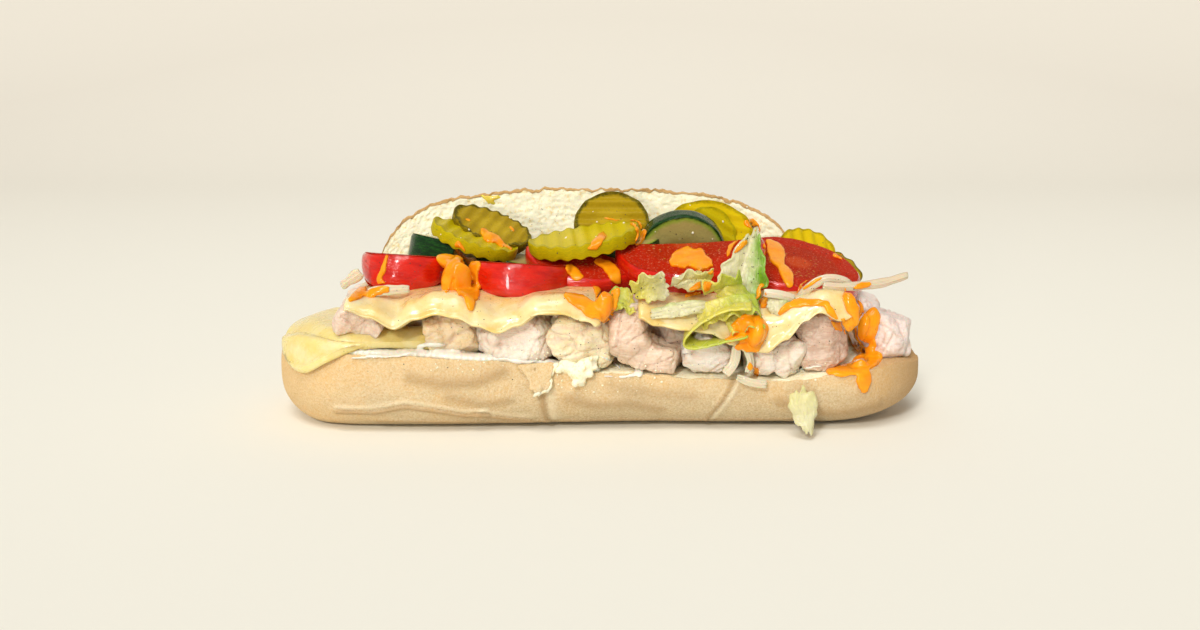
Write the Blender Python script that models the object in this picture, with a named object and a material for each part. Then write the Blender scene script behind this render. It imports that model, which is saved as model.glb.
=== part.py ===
"""A submarine sandwich: a slit roll that stands open on its hinge, filled with chunks of chicken,
melted cheese, tomato, cucumber, crinkle-cut pickles, lettuce and onion, with a thick orange sauce.

The roll rests on the flat of its base, and the origin is in the middle of that flat. +X runs along
the roll and +Z is up. The open side faces -Y, and the lid stands behind the filling, at +Y.
"""

import math
import random

import bmesh
import bpy
from mathutils import Euler, Matrix, Vector, noise
from mathutils.bvhtree import BVHTree

MM = 0.001
GAP = 0.45 * MM  # how far a piece is kept clear of the one that it lies against
GROWTHS = (1.0, 1.7, 2.6)  # in gaps, tried in turn where the first cut still leaves a touch

# The roll: a lower half that lies on its flat, and a shorter lid that is hinged to its back edge
ROLL_LENGTH = 252 * MM
ROLL_HALF_WIDTH = 37 * MM
BELLY_HEIGHT = 17 * MM  # where the crust bulges most
CROWN_RISE = 30 * MM  # from the belly to the top that the uncut roll would have
KEEL_DROP = 19.5 * MM  # from the belly down; what would be below the floor is flattened on it
PLAN_END_RADIUS = 36 * MM
LEFT_END_RISE = 24 * MM  # how far from each tip the underside starts to rise
RIGHT_END_RISE = 44 * MM
SECTION_POWER = 2.4
LEFT_FULLNESS = 0.7  # how much squarer the section is at the left, where the roll bulges forward
LEFT_SWELL = 1.8 * MM
RIGHT_LIFT = 0.9 * MM  # the right part of the underside stands just clear of the floor
BACK_EDGE_HEIGHT = 28.5 * MM
LID_HINGE = Vector((-4.5 * MM, 29 * MM, 27.5 * MM))
LID_HALF_LENGTH = 90 * MM
LID_HEIGHT = 57 * MM
LID_THICKNESS = 24 * MM
LID_LEAN = math.radians(12)
FLARE_HALF_LENGTH = 105 * MM  # the hinge runs on past the lid's ends, low on the roll
FLARE_HEIGHT = 25 * MM

FLAT_ENOUGH = math.radians(2.5)  # faces that lie this near to one plane are one face

CHEESE_THICKNESS = 2.6 * MM
LEAF_THICKNESS = 1.1 * MM
LEAF_ROUNDING = 0.45  # how far a leaf's corners are drawn in
ONION_THICKNESS = 1.5 * MM
CRINKLE_PITCH = 5.2 * MM
CRINKLE_DEPTH = 0.65 * MM

COLOURS = {
    "crust": ((0.80, 0.60, 0.34), 0.75),
    "chicken": ((0.86, 0.72, 0.58), 0.55),
    "cheese": ((0.93, 0.84, 0.50), 0.35),
    "tomato": ((0.78, 0.07, 0.02), 0.2),
    "cucumber": ((0.05, 0.20, 0.04), 0.25),
    "pickle": ((0.55, 0.52, 0.04), 0.25),
    "lettuce": ((0.62, 0.72, 0.24), 0.4),
    "onion": ((0.88, 0.84, 0.74), 0.3),
}


def smooth(t):
    """0 below 0, 1 above 1, and a soft step between."""
    t = min(max(t, 0.0), 1.0)
    return t * t * (3 - 2 * t)


def mix(a, b, t):
    return a + (b - a) * t


def run_through(points, at):
    """The height at a place along x, on a soft line through (x, height) points in millimetres."""
    at = at / MM
    if at <= points[0][0]:
        return points[0][1] * MM
    for (x0, h0), (x1, h1) in zip(points, points[1:]):
        if at <= x1:
            return mix(h0, h1, smooth((at - x0) / (x1 - x0))) * MM
    return points[-1][1] * MM


def curve_point(points, t):
    """A place from 0 to 1 along a soft curve through points in millimetres."""
    place = min(max(t, 0.0), 1.0) * (len(points) - 1)
    k = min(int(place), len(points) - 2)
    t = place - k
    a, b = Vector(points[k]), Vector(points[k + 1])
    before, after = Vector(points[max(k - 1, 0)]), Vector(points[min(k + 2, len(points) - 1)])
    pull_a, pull_b = (b - before) * 0.5, (after - a) * 0.5
    point = a * (1 + 2 * t) * (1 - t) ** 2 + pull_a * t * (1 - t) ** 2
    point += b * t * t * (3 - 2 * t) + pull_b * t * t * (t - 1)
    return point * MM


def lumps(point, size, seed=0.0):
    """Smooth bumps from -1 to 1, about as wide as size."""
    return noise.noise(point / size + Vector((seed * 3.7, seed * 1.9, seed * 5.3)))


def material(name):
    found = bpy.data.materials.get(name)
    if found:
        return found
    colour, roughness = COLOURS[name]
    made = bpy.data.materials.new(name)
    made.use_nodes = True
    shader = made.node_tree.nodes["Principled BSDF"]
    shader.inputs["Base Color"].default_value = (*colour, 1)
    shader.inputs["Roughness"].default_value = roughness
    shader.inputs["Metallic"].default_value = 0
    return made


def finished(name, bm, finish):
    """An object made from a bmesh, with its faces turned outwards."""
    bmesh.ops.remove_doubles(bm, verts=bm.verts, dist=0.02 * MM)
    bmesh.ops.dissolve_degenerate(bm, edges=bm.edges, dist=0.02 * MM)
    bmesh.ops.recalc_face_normals(bm, faces=bm.faces)
    bmesh.ops.triangulate(bm, faces=bm.faces)
    mesh = bpy.data.meshes.new(name)
    bm.to_mesh(mesh)
    bm.free()
    mesh.shade_smooth()
    mesh.set_sharp_from_angle(angle=math.radians(50))
    mesh.materials.append(material(finish))
    made = bpy.data.objects.new(name, mesh)
    bpy.context.scene.collection.objects.link(made)
    return made


def block(across, along, through):
    """A box from -1 to 1, with that many faces along x, y and z."""
    bm = bmesh.new()
    bmesh.ops.create_grid(bm, x_segments=across, y_segments=along, size=1)
    bmesh.ops.translate(bm, vec=(0, 0, -1), verts=bm.verts)
    top = bm.faces[:]
    for layer in range(through):
        grown = bmesh.ops.extrude_face_region(bm, geom=top)["geom"]
        bmesh.ops.translate(
            bm, vec=(0, 0, 2 / through), verts=[v for v in grown if isinstance(v, bmesh.types.BMVert)]
        )
        if layer:
            bmesh.ops.delete(bm, geom=top, context="FACES")
        top = [f for f in grown if isinstance(f, bmesh.types.BMFace)]
    return bm


# The roll


def end_round(x, rise, half_length):
    """1 along the body, falling to 0 at the tip on a quarter ellipse that is rise long."""
    past = max(0.0, abs(x) - (half_length - rise)) / rise
    return math.sqrt(max(0.0, 1 - min(past, 1.0) ** 2))


FRONT_EDGE = [
    (-126, 27), (-111, 31), (-74, 29.5), (-37, 27.5), (2, 23),
    (38, 21), (68, 20), (94, 23), (112, 25), (126, 22),
]


def leftness(x):
    return smooth((20 * MM - x) / (90 * MM))


def floor_at(x):
    """The height of the underside's flat part: the floor, and a little above it at the right."""
    return RIGHT_LIFT * smooth((x - 35 * MM) / (30 * MM))


def base_size_at(x):
    """Half width, rise above the belly, drop below it, and the cut's height at the front and back."""
    half = ROLL_LENGTH / 2
    rise = LEFT_END_RISE if x < 0 else RIGHT_END_RISE
    width = (ROLL_HALF_WIDTH + LEFT_SWELL * leftness(x)) * end_round(x, PLAN_END_RADIUS, half)
    up = CROWN_RISE * end_round(x, LEFT_END_RISE, half)
    down = KEEL_DROP * end_round(x, rise, half)
    crown = BELLY_HEIGHT + 0.8 * up
    return width, up, down, min(run_through(FRONT_EDGE, x), crown), min(BACK_EDGE_HEIGHT, crown)


def section_point(angle, width, up, down, power=SECTION_POWER):
    """A point of the crust's section, as (y, z)."""
    c, s = math.cos(angle), math.sin(angle)
    y = width * math.copysign(abs(c) ** (2 / power), c)
    z = (up if s > 0 else down) * math.copysign(abs(s) ** (2 / SECTION_POWER), s)
    return y, BELLY_HEIGHT + z


def edge_angle(height, up):
    return math.asin(min(1.0, max(0.0, (height - BELLY_HEIGHT) / max(up, 1e-6)) ** (SECTION_POWER / 2)))


def cut_face_height(x, y):
    """The height of the lower half's cut face, slightly hollow where the filling presses it."""
    width, up, _, front, back = base_size_at(x)
    across = min(max(0.5 + 0.5 * y / max(width, 1e-6), 0.0), 1.0)
    hollow = 1.5 * MM * math.sin(math.pi * across) ** 2 * end_round(x, PLAN_END_RADIUS, ROLL_LENGTH / 2)
    return mix(front, back, across) - hollow


def ball_angles(vertex, segments):
    """Where a vertex of a ball with its poles on x lies: its x, and its turn round x in whole steps."""
    step = 2 * math.pi / segments
    turn = round(math.atan2(vertex.co.z, vertex.co.y) / step) * step
    return vertex.co.x, turn


def ball(segments, rings):
    bm = bmesh.new()
    lay_down = Matrix.Rotation(math.pi / 2, 4, "Y")
    bmesh.ops.create_uvsphere(bm, u_segments=segments, v_segments=rings, radius=1, matrix=lay_down)
    return bm


def roll_base():
    """The lower half: a closed bun shape whose upper side is the cut face."""
    segments = 20
    bm = ball(segments, 32)
    for vertex in bm.verts:
        unit_x, turn = ball_angles(vertex, segments)
        x = unit_x * ROLL_LENGTH / 2
        width, up, down, front, back = base_size_at(x)
        front_turn, back_turn = edge_angle(front, up), edge_angle(back, up)
        y_front = section_point(math.pi - front_turn, width, up, down)[0]
        y_back = section_point(back_turn, width, up, down)[0]
        if turn > 1e-6 and turn < math.pi - 1e-6:
            y = mix(y_back, y_front, turn / math.pi)
            z = cut_face_height(x, y) + 0.5 * MM * lumps(Vector((x, y, 0)), 9 * MM)
        else:
            along = -turn / math.pi if turn <= 0 else 1.0
            power = SECTION_POWER + LEFT_FULLNESS * leftness(x) * smooth((along - 0.3) / 0.4)
            y, z = section_point(mix(back_turn, -math.pi - front_turn, along), width, up, down, power)
            swell = 1 + 0.02 * lumps(Vector((x, y, z)), 26 * MM, 2)
            y = y * swell
            z = max(z, floor_at(x))
        vertex.co = (x, y, z)
    return bm


def lid_height_at(x):
    """How far the lid's free edge stands above the hinge, with the low flare past its ends."""
    out = abs(x - LID_HINGE.x)
    own = LID_HEIGHT * max(0.0, 1 - (out / LID_HALF_LENGTH) ** 3) ** 0.25
    flare = FLARE_HEIGHT * math.sqrt(max(0.0, 1 - (out / FLARE_HALF_LENGTH) ** 2))
    return max(own, flare)


def lid_point(x, up, out):
    """A point of the lid, from its height above the hinge and its distance behind the cut face."""
    lean_y, lean_z = math.sin(LID_LEAN), math.cos(LID_LEAN)
    return Vector((x, LID_HINGE.y + up * lean_y + out * lean_z, LID_HINGE.z + up * lean_z - out * lean_y))


def roll_lid():
    """The upper half: its cut face looks at the filling, and its crust bulges backwards."""
    segments = 18
    bm = ball(segments, 32)
    for vertex in bm.verts:
        unit_x, turn = ball_angles(vertex, segments)
        x = LID_HINGE.x + unit_x * FLARE_HALF_LENGTH
        height = lid_height_at(x)
        thick = LID_THICKNESS * (height / LID_HEIGHT) ** 0.8
        middle, upper, lower = 0.46 * height, 0.54 * height, 0.55 * height
        if turn > 1e-6 and turn < math.pi - 1e-6:
            share = 1 - turn / math.pi
            up = mix(middle - lower, middle + upper, share)
            out = 0.6 * MM * lumps(Vector((x, up, 0)), 7 * MM, 4) + 1.2 * MM * math.sin(math.pi * share)
        else:
            along = -turn / math.pi if turn <= 0 else 1.0
            angle = mix(math.pi / 2, -math.pi / 2, along)
            c, s = max(math.cos(angle), 0.0), math.sin(angle)
            reach = upper if s > 0 else lower
            up = middle + reach * math.copysign(abs(s) ** (2 / SECTION_POWER), s)
            out = thick * c ** (2 / SECTION_POWER)
            out += 0.5 * MM * lumps(Vector((x, up, out)), 15 * MM, 6)
        rag = 0.9 * MM * lumps(Vector((x, 0, 0)), 5 * MM, 8) * smooth((up / max(height, 1e-6) - 0.8) / 0.2)
        vertex.co = lid_point(x, up + rag, out)
    return bm


def join(target, others):
    """Joins other objects to the target with one Boolean union, and removes them."""
    group = bpy.data.collections.new(target.name + "_joined")
    for other in others:
        bpy.context.scene.collection.objects.unlink(other)
        group.objects.link(other)
    bpy.context.scene.collection.children.link(group)
    union = target.modifiers.new("union", "BOOLEAN")
    union.operation = "UNION"
    union.operand_type = "COLLECTION"
    union.collection = group
    apply_modifiers(target)
    for other in others:
        bpy.data.objects.remove(other)
    bpy.data.collections.remove(group)
    return target


def apply_modifiers(target):
    graph = bpy.context.evaluated_depsgraph_get()
    made = bpy.data.meshes.new_from_object(target.evaluated_get(graph))
    target.modifiers.clear()
    target.data = made
    keep_largest(target)


def is_closed(bm):
    return bool(bm.faces) and all(len(edge.link_faces) == 2 for edge in bm.edges)


def keep_largest(target):
    """Drops the scraps that a cut leaves loose, and joins the faces that lie flat."""
    bm = bmesh.new()
    bm.from_mesh(target.data)
    left = set(bm.faces)
    islands = []
    while left:
        island = set()
        reached = [left.pop()]
        while reached:
            face = reached.pop()
            island.add(face)
            for edge in face.edges:
                for other in edge.link_faces:
                    if other in left:
                        left.remove(other)
                        reached.append(other)
        islands.append(island)
    islands.sort(key=lambda faces: sum(f.calc_area() for f in faces))
    scraps = [f for faces in islands[:-1] for f in faces]
    bmesh.ops.delete(bm, geom=scraps, context="FACES")
    simple = bm.copy()
    bmesh.ops.dissolve_limit(simple, angle_limit=FLAT_ENOUGH, verts=simple.verts, edges=simple.edges)
    bmesh.ops.triangulate(simple, faces=simple.faces)
    bmesh.ops.triangulate(bm, faces=bm.faces)
    kept_volume = abs(simple.calc_volume()) > 0.98 * abs(bm.calc_volume())
    better = simple if is_closed(simple) and kept_volume else bm
    better.to_mesh(target.data)
    simple.free()
    bm.free()


def mesh_is_closed(target):
    bm = bmesh.new()
    bm.from_mesh(target.data)
    found = is_closed(bm)
    bm.free()
    return found


def grown_copy(source, growth):
    """A copy whose faces stand out by the growth, to cut a neighbour with."""
    bm = bmesh.new()
    bm.from_mesh(source.data)
    bm.normal_update()
    for vertex in bm.verts:
        vertex.co += vertex.normal * growth * min(vertex.calc_shell_factor(), 1.6)
    mesh = bpy.data.meshes.new("cutter")
    bm.to_mesh(mesh)
    bm.free()
    cutter = bpy.data.objects.new("cutter", mesh)
    cutter.hide_render = True
    cutter.display_type = "WIRE"
    bpy.context.scene.collection.objects.link(cutter)
    return cutter


def tree_of(thing):
    bm = bmesh.new()
    bm.from_mesh(thing.data)
    tree = BVHTree.FromBMesh(bm)
    bm.free()
    return tree


def cut_away(target, cutter):
    """Takes the cutter's shape out of the target, with the first of the two ways that leaves it closed."""
    before = target.data
    for crossing in (True, False):
        target.data = before
        cut = target.modifiers.new("cut", "BOOLEAN")
        cut.operation = "DIFFERENCE"
        cut.use_self = crossing
        cut.object = cutter
        apply_modifiers(target)
        if mesh_is_closed(target):
            return


def cut_clear(target, neighbours):
    """Cuts the target back from each neighbour that it would otherwise run into."""
    for neighbour in neighbours:
        for growth in GROWTHS:
            cutter = grown_copy(neighbour, GAP * growth)
            met = tree_of(target).overlap(tree_of(neighbour if growth > 1 else cutter))
            if met:
                cut_away(target, cutter)
            bpy.data.objects.remove(cutter)
            if not met:
                break


# Chicken


def chunk_bmesh(centre, size, turn, seed, faces=3):
    """A hand-cut chunk: a box with knocked corners, leaning sides and torn faces."""
    draw = random.Random(seed)
    bm = block(faces, faces, faces)
    lean = [draw.uniform(-0.16, 0.16) for _ in range(4)]
    spin = Euler([math.radians(a) for a in turn]).to_matrix()
    half = Vector(size) * 0.5
    for vertex in bm.verts:
        p = vertex.co.copy()
        round_off = 1 - 0.13 * max(0.0, p.length - 1.0) ** 1.2
        p = Vector((p.x + lean[0] * p.z + lean[1] * p.y, p.y + lean[2] * p.x, p.z + lean[3] * p.y))
        p *= round_off
        p += 0.19 * Vector([lumps(p, 0.9, seed + k) for k in (0.1, 0.4, 0.7)])
        vertex.co = Vector(centre) * MM + spin @ Vector((p.x * half.x, p.y * half.y, p.z * half.z)) * MM
    return bm


# Centre, size and turn about x, y and z, in millimetres and degrees; a piece of several parts is fused
CHUNKS = {
    "chicken_1": [((-88, -26, 40), (17, 18, 18), (6, 4, -8))],
    "chicken_2": [((-56, -25, 36.5), (20, 18, 16), (0, -6, 12))],
    "chicken_3": [((-31, -26, 36.5), (27, 20, 18), (-6, 10, -4))],
    "chicken_4": [((-7, -28, 34.5), (21, 19, 19), (4, 0, 6))],
    "chicken_5": [((10, -27, 38), (13, 17, 20), (0, 8, 10)), ((20, -29, 28.5), (25, 15, 9), (0, 14, -6))],
    "chicken_6": [((29, -19, 35), (15, 14, 13), (0, 10, 20))],
    "chicken_7": [((40, -27, 29.5), (18, 18, 14), (4, 26, -8))],
    "chicken_8": [((65, -26, 28), (20, 18, 14), (0, 6, 8))],
    "chicken_9": [((82, -23, 34.5), (18, 17, 24), (-6, -12, 14))],
    "chicken_10": [((110, -11, 31), (15, 20, 18), (0, 8, 24))],
    "chicken_11": [((101, 4, 38), (17, 17, 13), (8, 12, -14))],
}

# What shows of the same filling behind the front row and at the ends: lumps on one lower core
HEAP_CORE = ((2, 8, 35), (172, 38, 13))
HEAP_PIECES = [
    ((-92, 8, 38), (19, 20, 16), (0, 8, 20)),
    ((-72, -3, 39), (18, 18, 14), (5, 0, -15)),
    ((-40, 12, 42), (30, 22, 11), (0, 6, 18)),
    ((0, 10, 42), (34, 26, 11), (6, 0, -8)),
    ((50, 4, 40), (28, 26, 13), (0, -6, -12)),
    ((80, 12, 39), (20, 20, 15), (0, 8, -16)),
]


def chicken(name):
    parts = CHUNKS[name]
    seed = 11 + list(CHUNKS).index(name)
    made = [
        finished(name if k == 0 else f"{name}_part{k}", chunk_bmesh(*part, seed + 20 * k), "chicken")
        for k, part in enumerate(parts)
    ]
    return join(made[0], made[1:]) if len(made) > 1 else made[0]


def chicken_heap():
    core_centre, core_size = HEAP_CORE
    bm = block(8, 3, 1)
    for vertex in bm.verts:
        p = vertex.co.copy()
        wobble = 1 + 0.06 * lumps(p, 0.4, 3)
        vertex.co = Vector([(core_centre[k] + 0.5 * core_size[k] * p[k] * wobble) * MM for k in range(3)])
    heap = finished("chicken_heap", bm, "chicken")
    pieces = [
        finished(f"heap_piece{k}", chunk_bmesh(*piece, 60 + k, faces=2), "chicken")
        for k, piece in enumerate(HEAP_PIECES)
    ]
    return join(heap, pieces)


# Sheets: cheese, leaves and strips of onion


def sheet(name, across, along, surface, thickness, finish):
    """A thin solid over surface(u, v), with u and v from -1 to 1, half its thickness to each side."""
    bm = block(across, along, 1)
    step = 0.02
    for vertex in bm.verts:
        u, v, side = vertex.co
        here = surface(u, v)
        along_u = surface(min(u + step, 1.0), v) - surface(max(u - step, -1.0), v)
        along_v = surface(u, min(v + step, 1.0)) - surface(u, max(v - step, -1.0))
        vertex.co = here + along_u.cross(along_v).normalized() * side * thickness / 2
    return finished(name, bm, finish)


# Where the low slice's outer edge runs, from its front corner round to the back: x, y and height
LOW_CHEESE_RIM = [
    (-60, -33, 32.5), (-76, -34, 33), (-90, -36.5, 32.5), (-101, -38.5, 28.5), (-110, -35, 23.5),
    (-117, -27, 24), (-121, -18, 28), (-122, -8, 32), (-120, 3, 33.5), (-114, 13, 34),
]
LOW_CHEESE_INSIDE = Vector((-84, 2, 34)) * MM
LOW_CHEESE_RUN = Vector((16, -16, -0.8)) * MM  # from there, where the front corner's inner end lies
LOW_CHEESE_CREST = 3.2 * MM


def roll_top(x, y):
    """The height of the lower half at a place: its cut face, or the crust outside that."""
    width, up, _, _, _ = base_size_at(x)
    out = min(abs(y) / max(width, 1e-6), 1.0)
    crust = BELLY_HEIGHT + up * (1 - out ** SECTION_POWER) ** (1 / SECTION_POWER)
    return min(cut_face_height(x, y) + 1.5 * MM, crust) if out < 1 else 0.0


def low_cheese(u, v):
    """The slice on the cut face at the left end: its outer edge sags over the crust of the tip."""
    rim = curve_point(LOW_CHEESE_RIM, 0.5 + 0.5 * v)
    inside = LOW_CHEESE_INSIDE + LOW_CHEESE_RUN * (0.5 - 0.5 * v)
    across = 0.5 + 0.5 * u
    place = inside.lerp(rim, 1 - (1 - across) ** 1.25)
    crest = inside.z + LOW_CHEESE_CREST
    place.z = mix(mix(inside.z, crest, smooth(across / 0.5)), rim.z, smooth((across - 0.62) / 0.38))
    place.z = max(place.z, roll_top(place.x, place.y) + CHEESE_THICKNESS / 2 + GAP)
    return place


LEFT_CHEESE_EDGE = [
    (-93, 47), (-84, 44), (-75, 40), (-67, 43.5), (-59, 45.5), (-52, 44), (-45, 41),
    (-37, 38.5), (-30, 41), (-22, 45.5), (-14, 45.5), (-6, 43), (1, 41),
]
LEFT_CHEESE_BEND = [
    (-93, 50), (-84, 48), (-75, 44), (-68, 49), (-60, 52), (-53, 51.5), (-46, 48),
    (-38, 44.5), (-31, 46), (-23, 50.5), (-14, 51), (-6, 49), (1, 47),
]
RIGHT_CHEESE_EDGE = [
    (14, 44), (20, 41), (30, 39.5), (40, 38), (48, 34), (54, 31),
    (61, 31), (68, 36), (75, 43), (80, 46), (87, 43), (94, 45),
]
RIGHT_CHEESE_BEND = [
    (14, 48), (24, 46), (34, 45), (44, 44), (54, 44), (64, 45), (74, 49), (82, 52.5), (88, 52), (94, 48)
]


def draped(first, last, edge, bend, front, back_height):
    """A slice that lies on the chicken, bends at its front and hangs to an uneven edge."""

    def surface(u, v):
        x = mix(first, last, 0.5 + 0.5 * u) * MM
        low, high = run_through(edge, x), run_through(bend, x)
        wander = 1.2 * lumps(Vector((x, 0, 0)), 16 * MM, 5)
        low, high, back = low / MM, high / MM, back_height
        out = front + wander
        path = [
            (x / MM, out - 1.0, low),
            (x / MM, out, mix(low, high, 0.62)),
            (x / MM, out + 3.5, high),
            (x / MM, front + 12, mix(high, back, 0.6)),
            (x / MM, front + 26, back),
            (x / MM, front + 40, back - 0.5),
        ]
        return curve_point(path, (v + 1) / 2)

    return surface


def leaf(corners, curl, ripple, seed):
    """A wavy leaf between four corners in millimetres, curling out by curl and rippled at its edges."""
    low_left, low_right, top_left, top_right = (Vector(c) * MM for c in corners)

    def surface(u, v):
        s = 0.5 + 0.5 * u * math.sqrt(1 - LEAF_ROUNDING * v * v)
        t = 0.5 + 0.5 * v * math.sqrt(1 - LEAF_ROUNDING * u * u)
        place = low_left.lerp(low_right, s).lerp(top_left.lerp(top_right, s), t)
        facing = (low_right - low_left).cross(top_left - low_left).normalized()
        bow = curl * MM * (1 - u * u)
        wave = ripple * MM * lumps(Vector((u * 1.3, v * 1.7, seed)), 0.8, seed) * (0.4 + 0.6 * abs(u))
        fringe = ripple * MM * 0.4 * lumps(Vector((u * 3, v * 3, 0)), 1.2, seed + 3) * abs(u) ** 3
        return place + facing * (bow + wave) + (top_left - low_left).normalized() * fringe

    return surface


def strip(points, width, twist=0.0, face=(0, -1, 0.3)):
    """A band that runs through points in millimetres, with its flat side towards face."""
    def surface(u, v):
        t = 0.5 + 0.5 * u
        ahead = (curve_point(points, t + 0.01) - curve_point(points, t - 0.01)).normalized()
        side = ahead.cross(Vector(face).normalized()).normalized()
        side = Matrix.Rotation(math.radians(twist) * t, 3, ahead) @ side
        return curve_point(points, t) + side * v * width / 2 * MM

    return surface


LEAVES = {
    # corners: low left, low right, top left, top right; then curl, ripple and seed
    "lettuce_tall": (((38, -33, 50), (62, -34, 46), (54.5, -25, 75), (60, -28, 74.5)), -3, 1.9, 1),
    "lettuce_rib": (((15, -38, 42.5), (40, -38.5, 45.5), (16, -36, 46.5), (42, -35, 51.5)), 2.5, 0.8, 2),
    "lettuce_yellow": (((12, -33.5, 49.5), (25, -34.5, 49), (14, -29, 59), (25.5, -28, 57.5)), 1.5, 1.3, 3),
    "lettuce_pale": (((27, -27, 52), (40, -29, 51.5), (28, -22, 57), (41, -24, 59)), 1.5, 1.1, 4),
    "lettuce_frill": (((44, -37, 48.5), (59, -38, 45), (41, -31, 56), (56, -32, 54)), 2.5, 1.8, 5),
    "lettuce_small": (((62, -36, 43), (72, -34, 47), (60, -31, 51), (72, -30, 51.5)), 2.0, 1.0, 6),
    "lettuce_left": (((2, -30, 47), (12, -32, 45), (3, -26, 53), (13, -28, 53)), 1.5, 1.2, 7),
    "lettuce_flake": (((74, -46, 1.6), (78, -45, 1.2), (66.5, -41, 16.5), (80, -41, 20)), 1.5, 0.8, 8),
}


# A leaf folded back on itself, with the open ends of the fold towards +X: x and z down its middle
CURL_FOLD = [(55, 50), (46, 48.5), (38, 44.5), (32, 39.5), (31.5, 36), (36, 34.8), (45, 36.5), (54, 39.5)]


def lettuce_curl(u, v):
    fold = [(x, -37.5, z) for x, z in CURL_FOLD]
    place = curve_point(fold, 0.5 + 0.5 * u)
    sway = Vector((0.8 * v, 6 * v + 1.2 * math.sin(3 * u + 1), 1.2 * v + 0.6 * math.sin(5 * u + 2 * v)))
    return place + sway * MM


ONIONS = {
    "onion_long": (
        [(82, -30, 54.5), (90, -29, 54), (98, -27, 54.2), (106, -25, 55), (115, -23, 57.5)], 3.4, 30
    ),
    "onion_arch": ([(74, -26, 49), (78, -28, 54), (84, -28, 57), (90, -27, 56), (94, -26, 53.5)], 3.6, 0),
    "onion_short": ([(60, -33, 52.5), (66, -34, 52), (71, -33, 50.5)], 3.4, 10),
    "onion_left": ([(-98, -16, 52), (-94, -19, 55), (-90, -20, 58)], 4.5, 20),
    "onion_left_low": ([(-86, -27, 51.5), (-79, -28, 52.5), (-71, -26, 52.5)], 4.0, 0),
    "onion_drop": ([(50, -38, 34), (49, -39.5, 28), (46, -39.5, 23.5)], 4.0, 10),
    "onion_drop_right": ([(53, -38, 34.5), (55, -39, 28), (54, -39, 24)], 3.0, -10),
    "onion_drop_low": ([(50, -40, 22.5), (55, -40, 20.5), (61, -39.5, 19.5)], 3.0, 0),
}


# Slices of tomato, cucumber and pickle


def turned(centre, tilt, yaw, roll, spin=0):
    """A slice's place: lying flat and face up, spun, leant up towards the front, tipped and turned."""
    turn = Euler((math.radians(tilt), math.radians(roll), math.radians(yaw))).to_matrix().to_4x4()
    return Matrix.Translation(Vector(centre) * MM) @ turn @ Matrix.Rotation(math.radians(spin), 4, "Z")


def slice_bmesh(
    radius, depth, thickness, across, along, through, wave=0.0, half=False, bulge=0.0, seed=0.0
):
    """A round or half-round slice with its ridges along y; a half slice has its straight cut at y = 0."""
    bm = block(across, along, through)
    for vertex in bm.verts:
        x, y, z = vertex.co
        chord = math.sqrt(max(0.0, 1 - x * x))
        swell = 1 + bulge * (1 - z * z)
        if half:
            y_place = -(0.5 - 0.5 * y) * chord * swell
        else:
            y_place = y * chord * swell
        uneven = 1 + 0.03 * lumps(Vector((x, y_place, 0)), 0.7, seed)
        ridge = wave * math.cos(math.pi * (x + 1) / 2 * across)
        vertex.co = (x * radius * swell * uneven, y_place * depth * uneven, z * thickness / 2 + ridge)
    return bm


def flat_slice(name, finish, size, place, bend=0.0, **shape):
    """A slice in its place, bent a little about its length."""
    radius, depth, thickness = (s * MM for s in size)
    bm = slice_bmesh(radius, depth, thickness, **shape)
    for vertex in bm.verts:
        vertex.co.z += bend * MM * ((vertex.co.x / radius) ** 2 - 0.4)
    bm.transform(turned(*place))
    return finished(name, bm, finish)


# Radius, depth and thickness; the centre, the lean up from flat, the yaw, the tip to +X and the spin;
# and the bend
TOMATOES = {
    "tomato_1": ((17.5, 20, 13.4), ((-75.5, 1, 54.4), -9, -4, 3), 0.0, True),
    "tomato_2": ((19, 20, 12.8), ((-31, -6, 52.4), -9, 4, 4), 0.0, True),
    "tomato_3": ((24, 24, 9), ((-5, 9, 59), 22, 2, 2), 0.6, True),
    "tomato_4": ((28.5, 25, 10), ((35, 3, 61.5), 20, -4, -3), 1.2, True),
    "tomato_5": ((25, 21, 10), ((77, 1, 53.5), 19, 4, 9), -1.0, False),
}
CUCUMBERS = {
    "cucumber_1": ((17, 26, 10), ((-53, 14, 58), -9, -107, -12), True),
    "cucumber_2": ((15, 14, 5), ((-36, 14, 58), 10, 10, 14), True),
    "cucumber_3": ((15, 15, 6), ((10, 15, 64), 10, 20, -6), True),
    "cucumber_4": ((18.5, 18.5, 7.5), ((33, 15, 59), 108, 0, 0), False),
}
PICKLES = {
    "pickle_1": ((18, 12, 4.6), ((-50, 7, 66), 3, -6, 20)),
    "pickle_2": ((17, 12, 4.2), ((-44, 18, 69), 18, -10, 22)),
    "pickle_3": ((22, 14, 5.2), ((-6, 3, 66.5), 7, 4, -9)),
    "pickle_4": ((14.5, 15.5, 4.0), ((5, 25, 69.5), 62, 0, 0, 90)),
    "pickle_5": ((13, 18, 4.0), ((46, 29, 67), 56, 0, 10, 90)),
    "pickle_6": ((12, 12, 4.0), ((45, 22, 66), 60, 14, 30, 90)),
    "pickle_7": ((12, 11, 4.0), ((85, 23, 59.5), 40, 10, 8)),
    "pickle_8": ((9, 8, 4.6), ((99.5, 22, 51.5), 30, 0, 34)),
}


def tomato(name):
    size, place, bend, half = TOMATOES[name]
    seed = 30 + list(TOMATOES).index(name)
    shape = {"across": 12, "along": 3, "through": 2, "half": half, "bulge": 0.04, "seed": seed}
    return flat_slice(name, "tomato", size, place, bend, **shape)


def cucumber(name):
    size, place, half = CUCUMBERS[name]
    shape = {"across": 10, "along": 3 if half else 4, "through": 1, "half": half}
    return flat_slice(name, "cucumber", size, place, 0.0, **shape)


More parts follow.
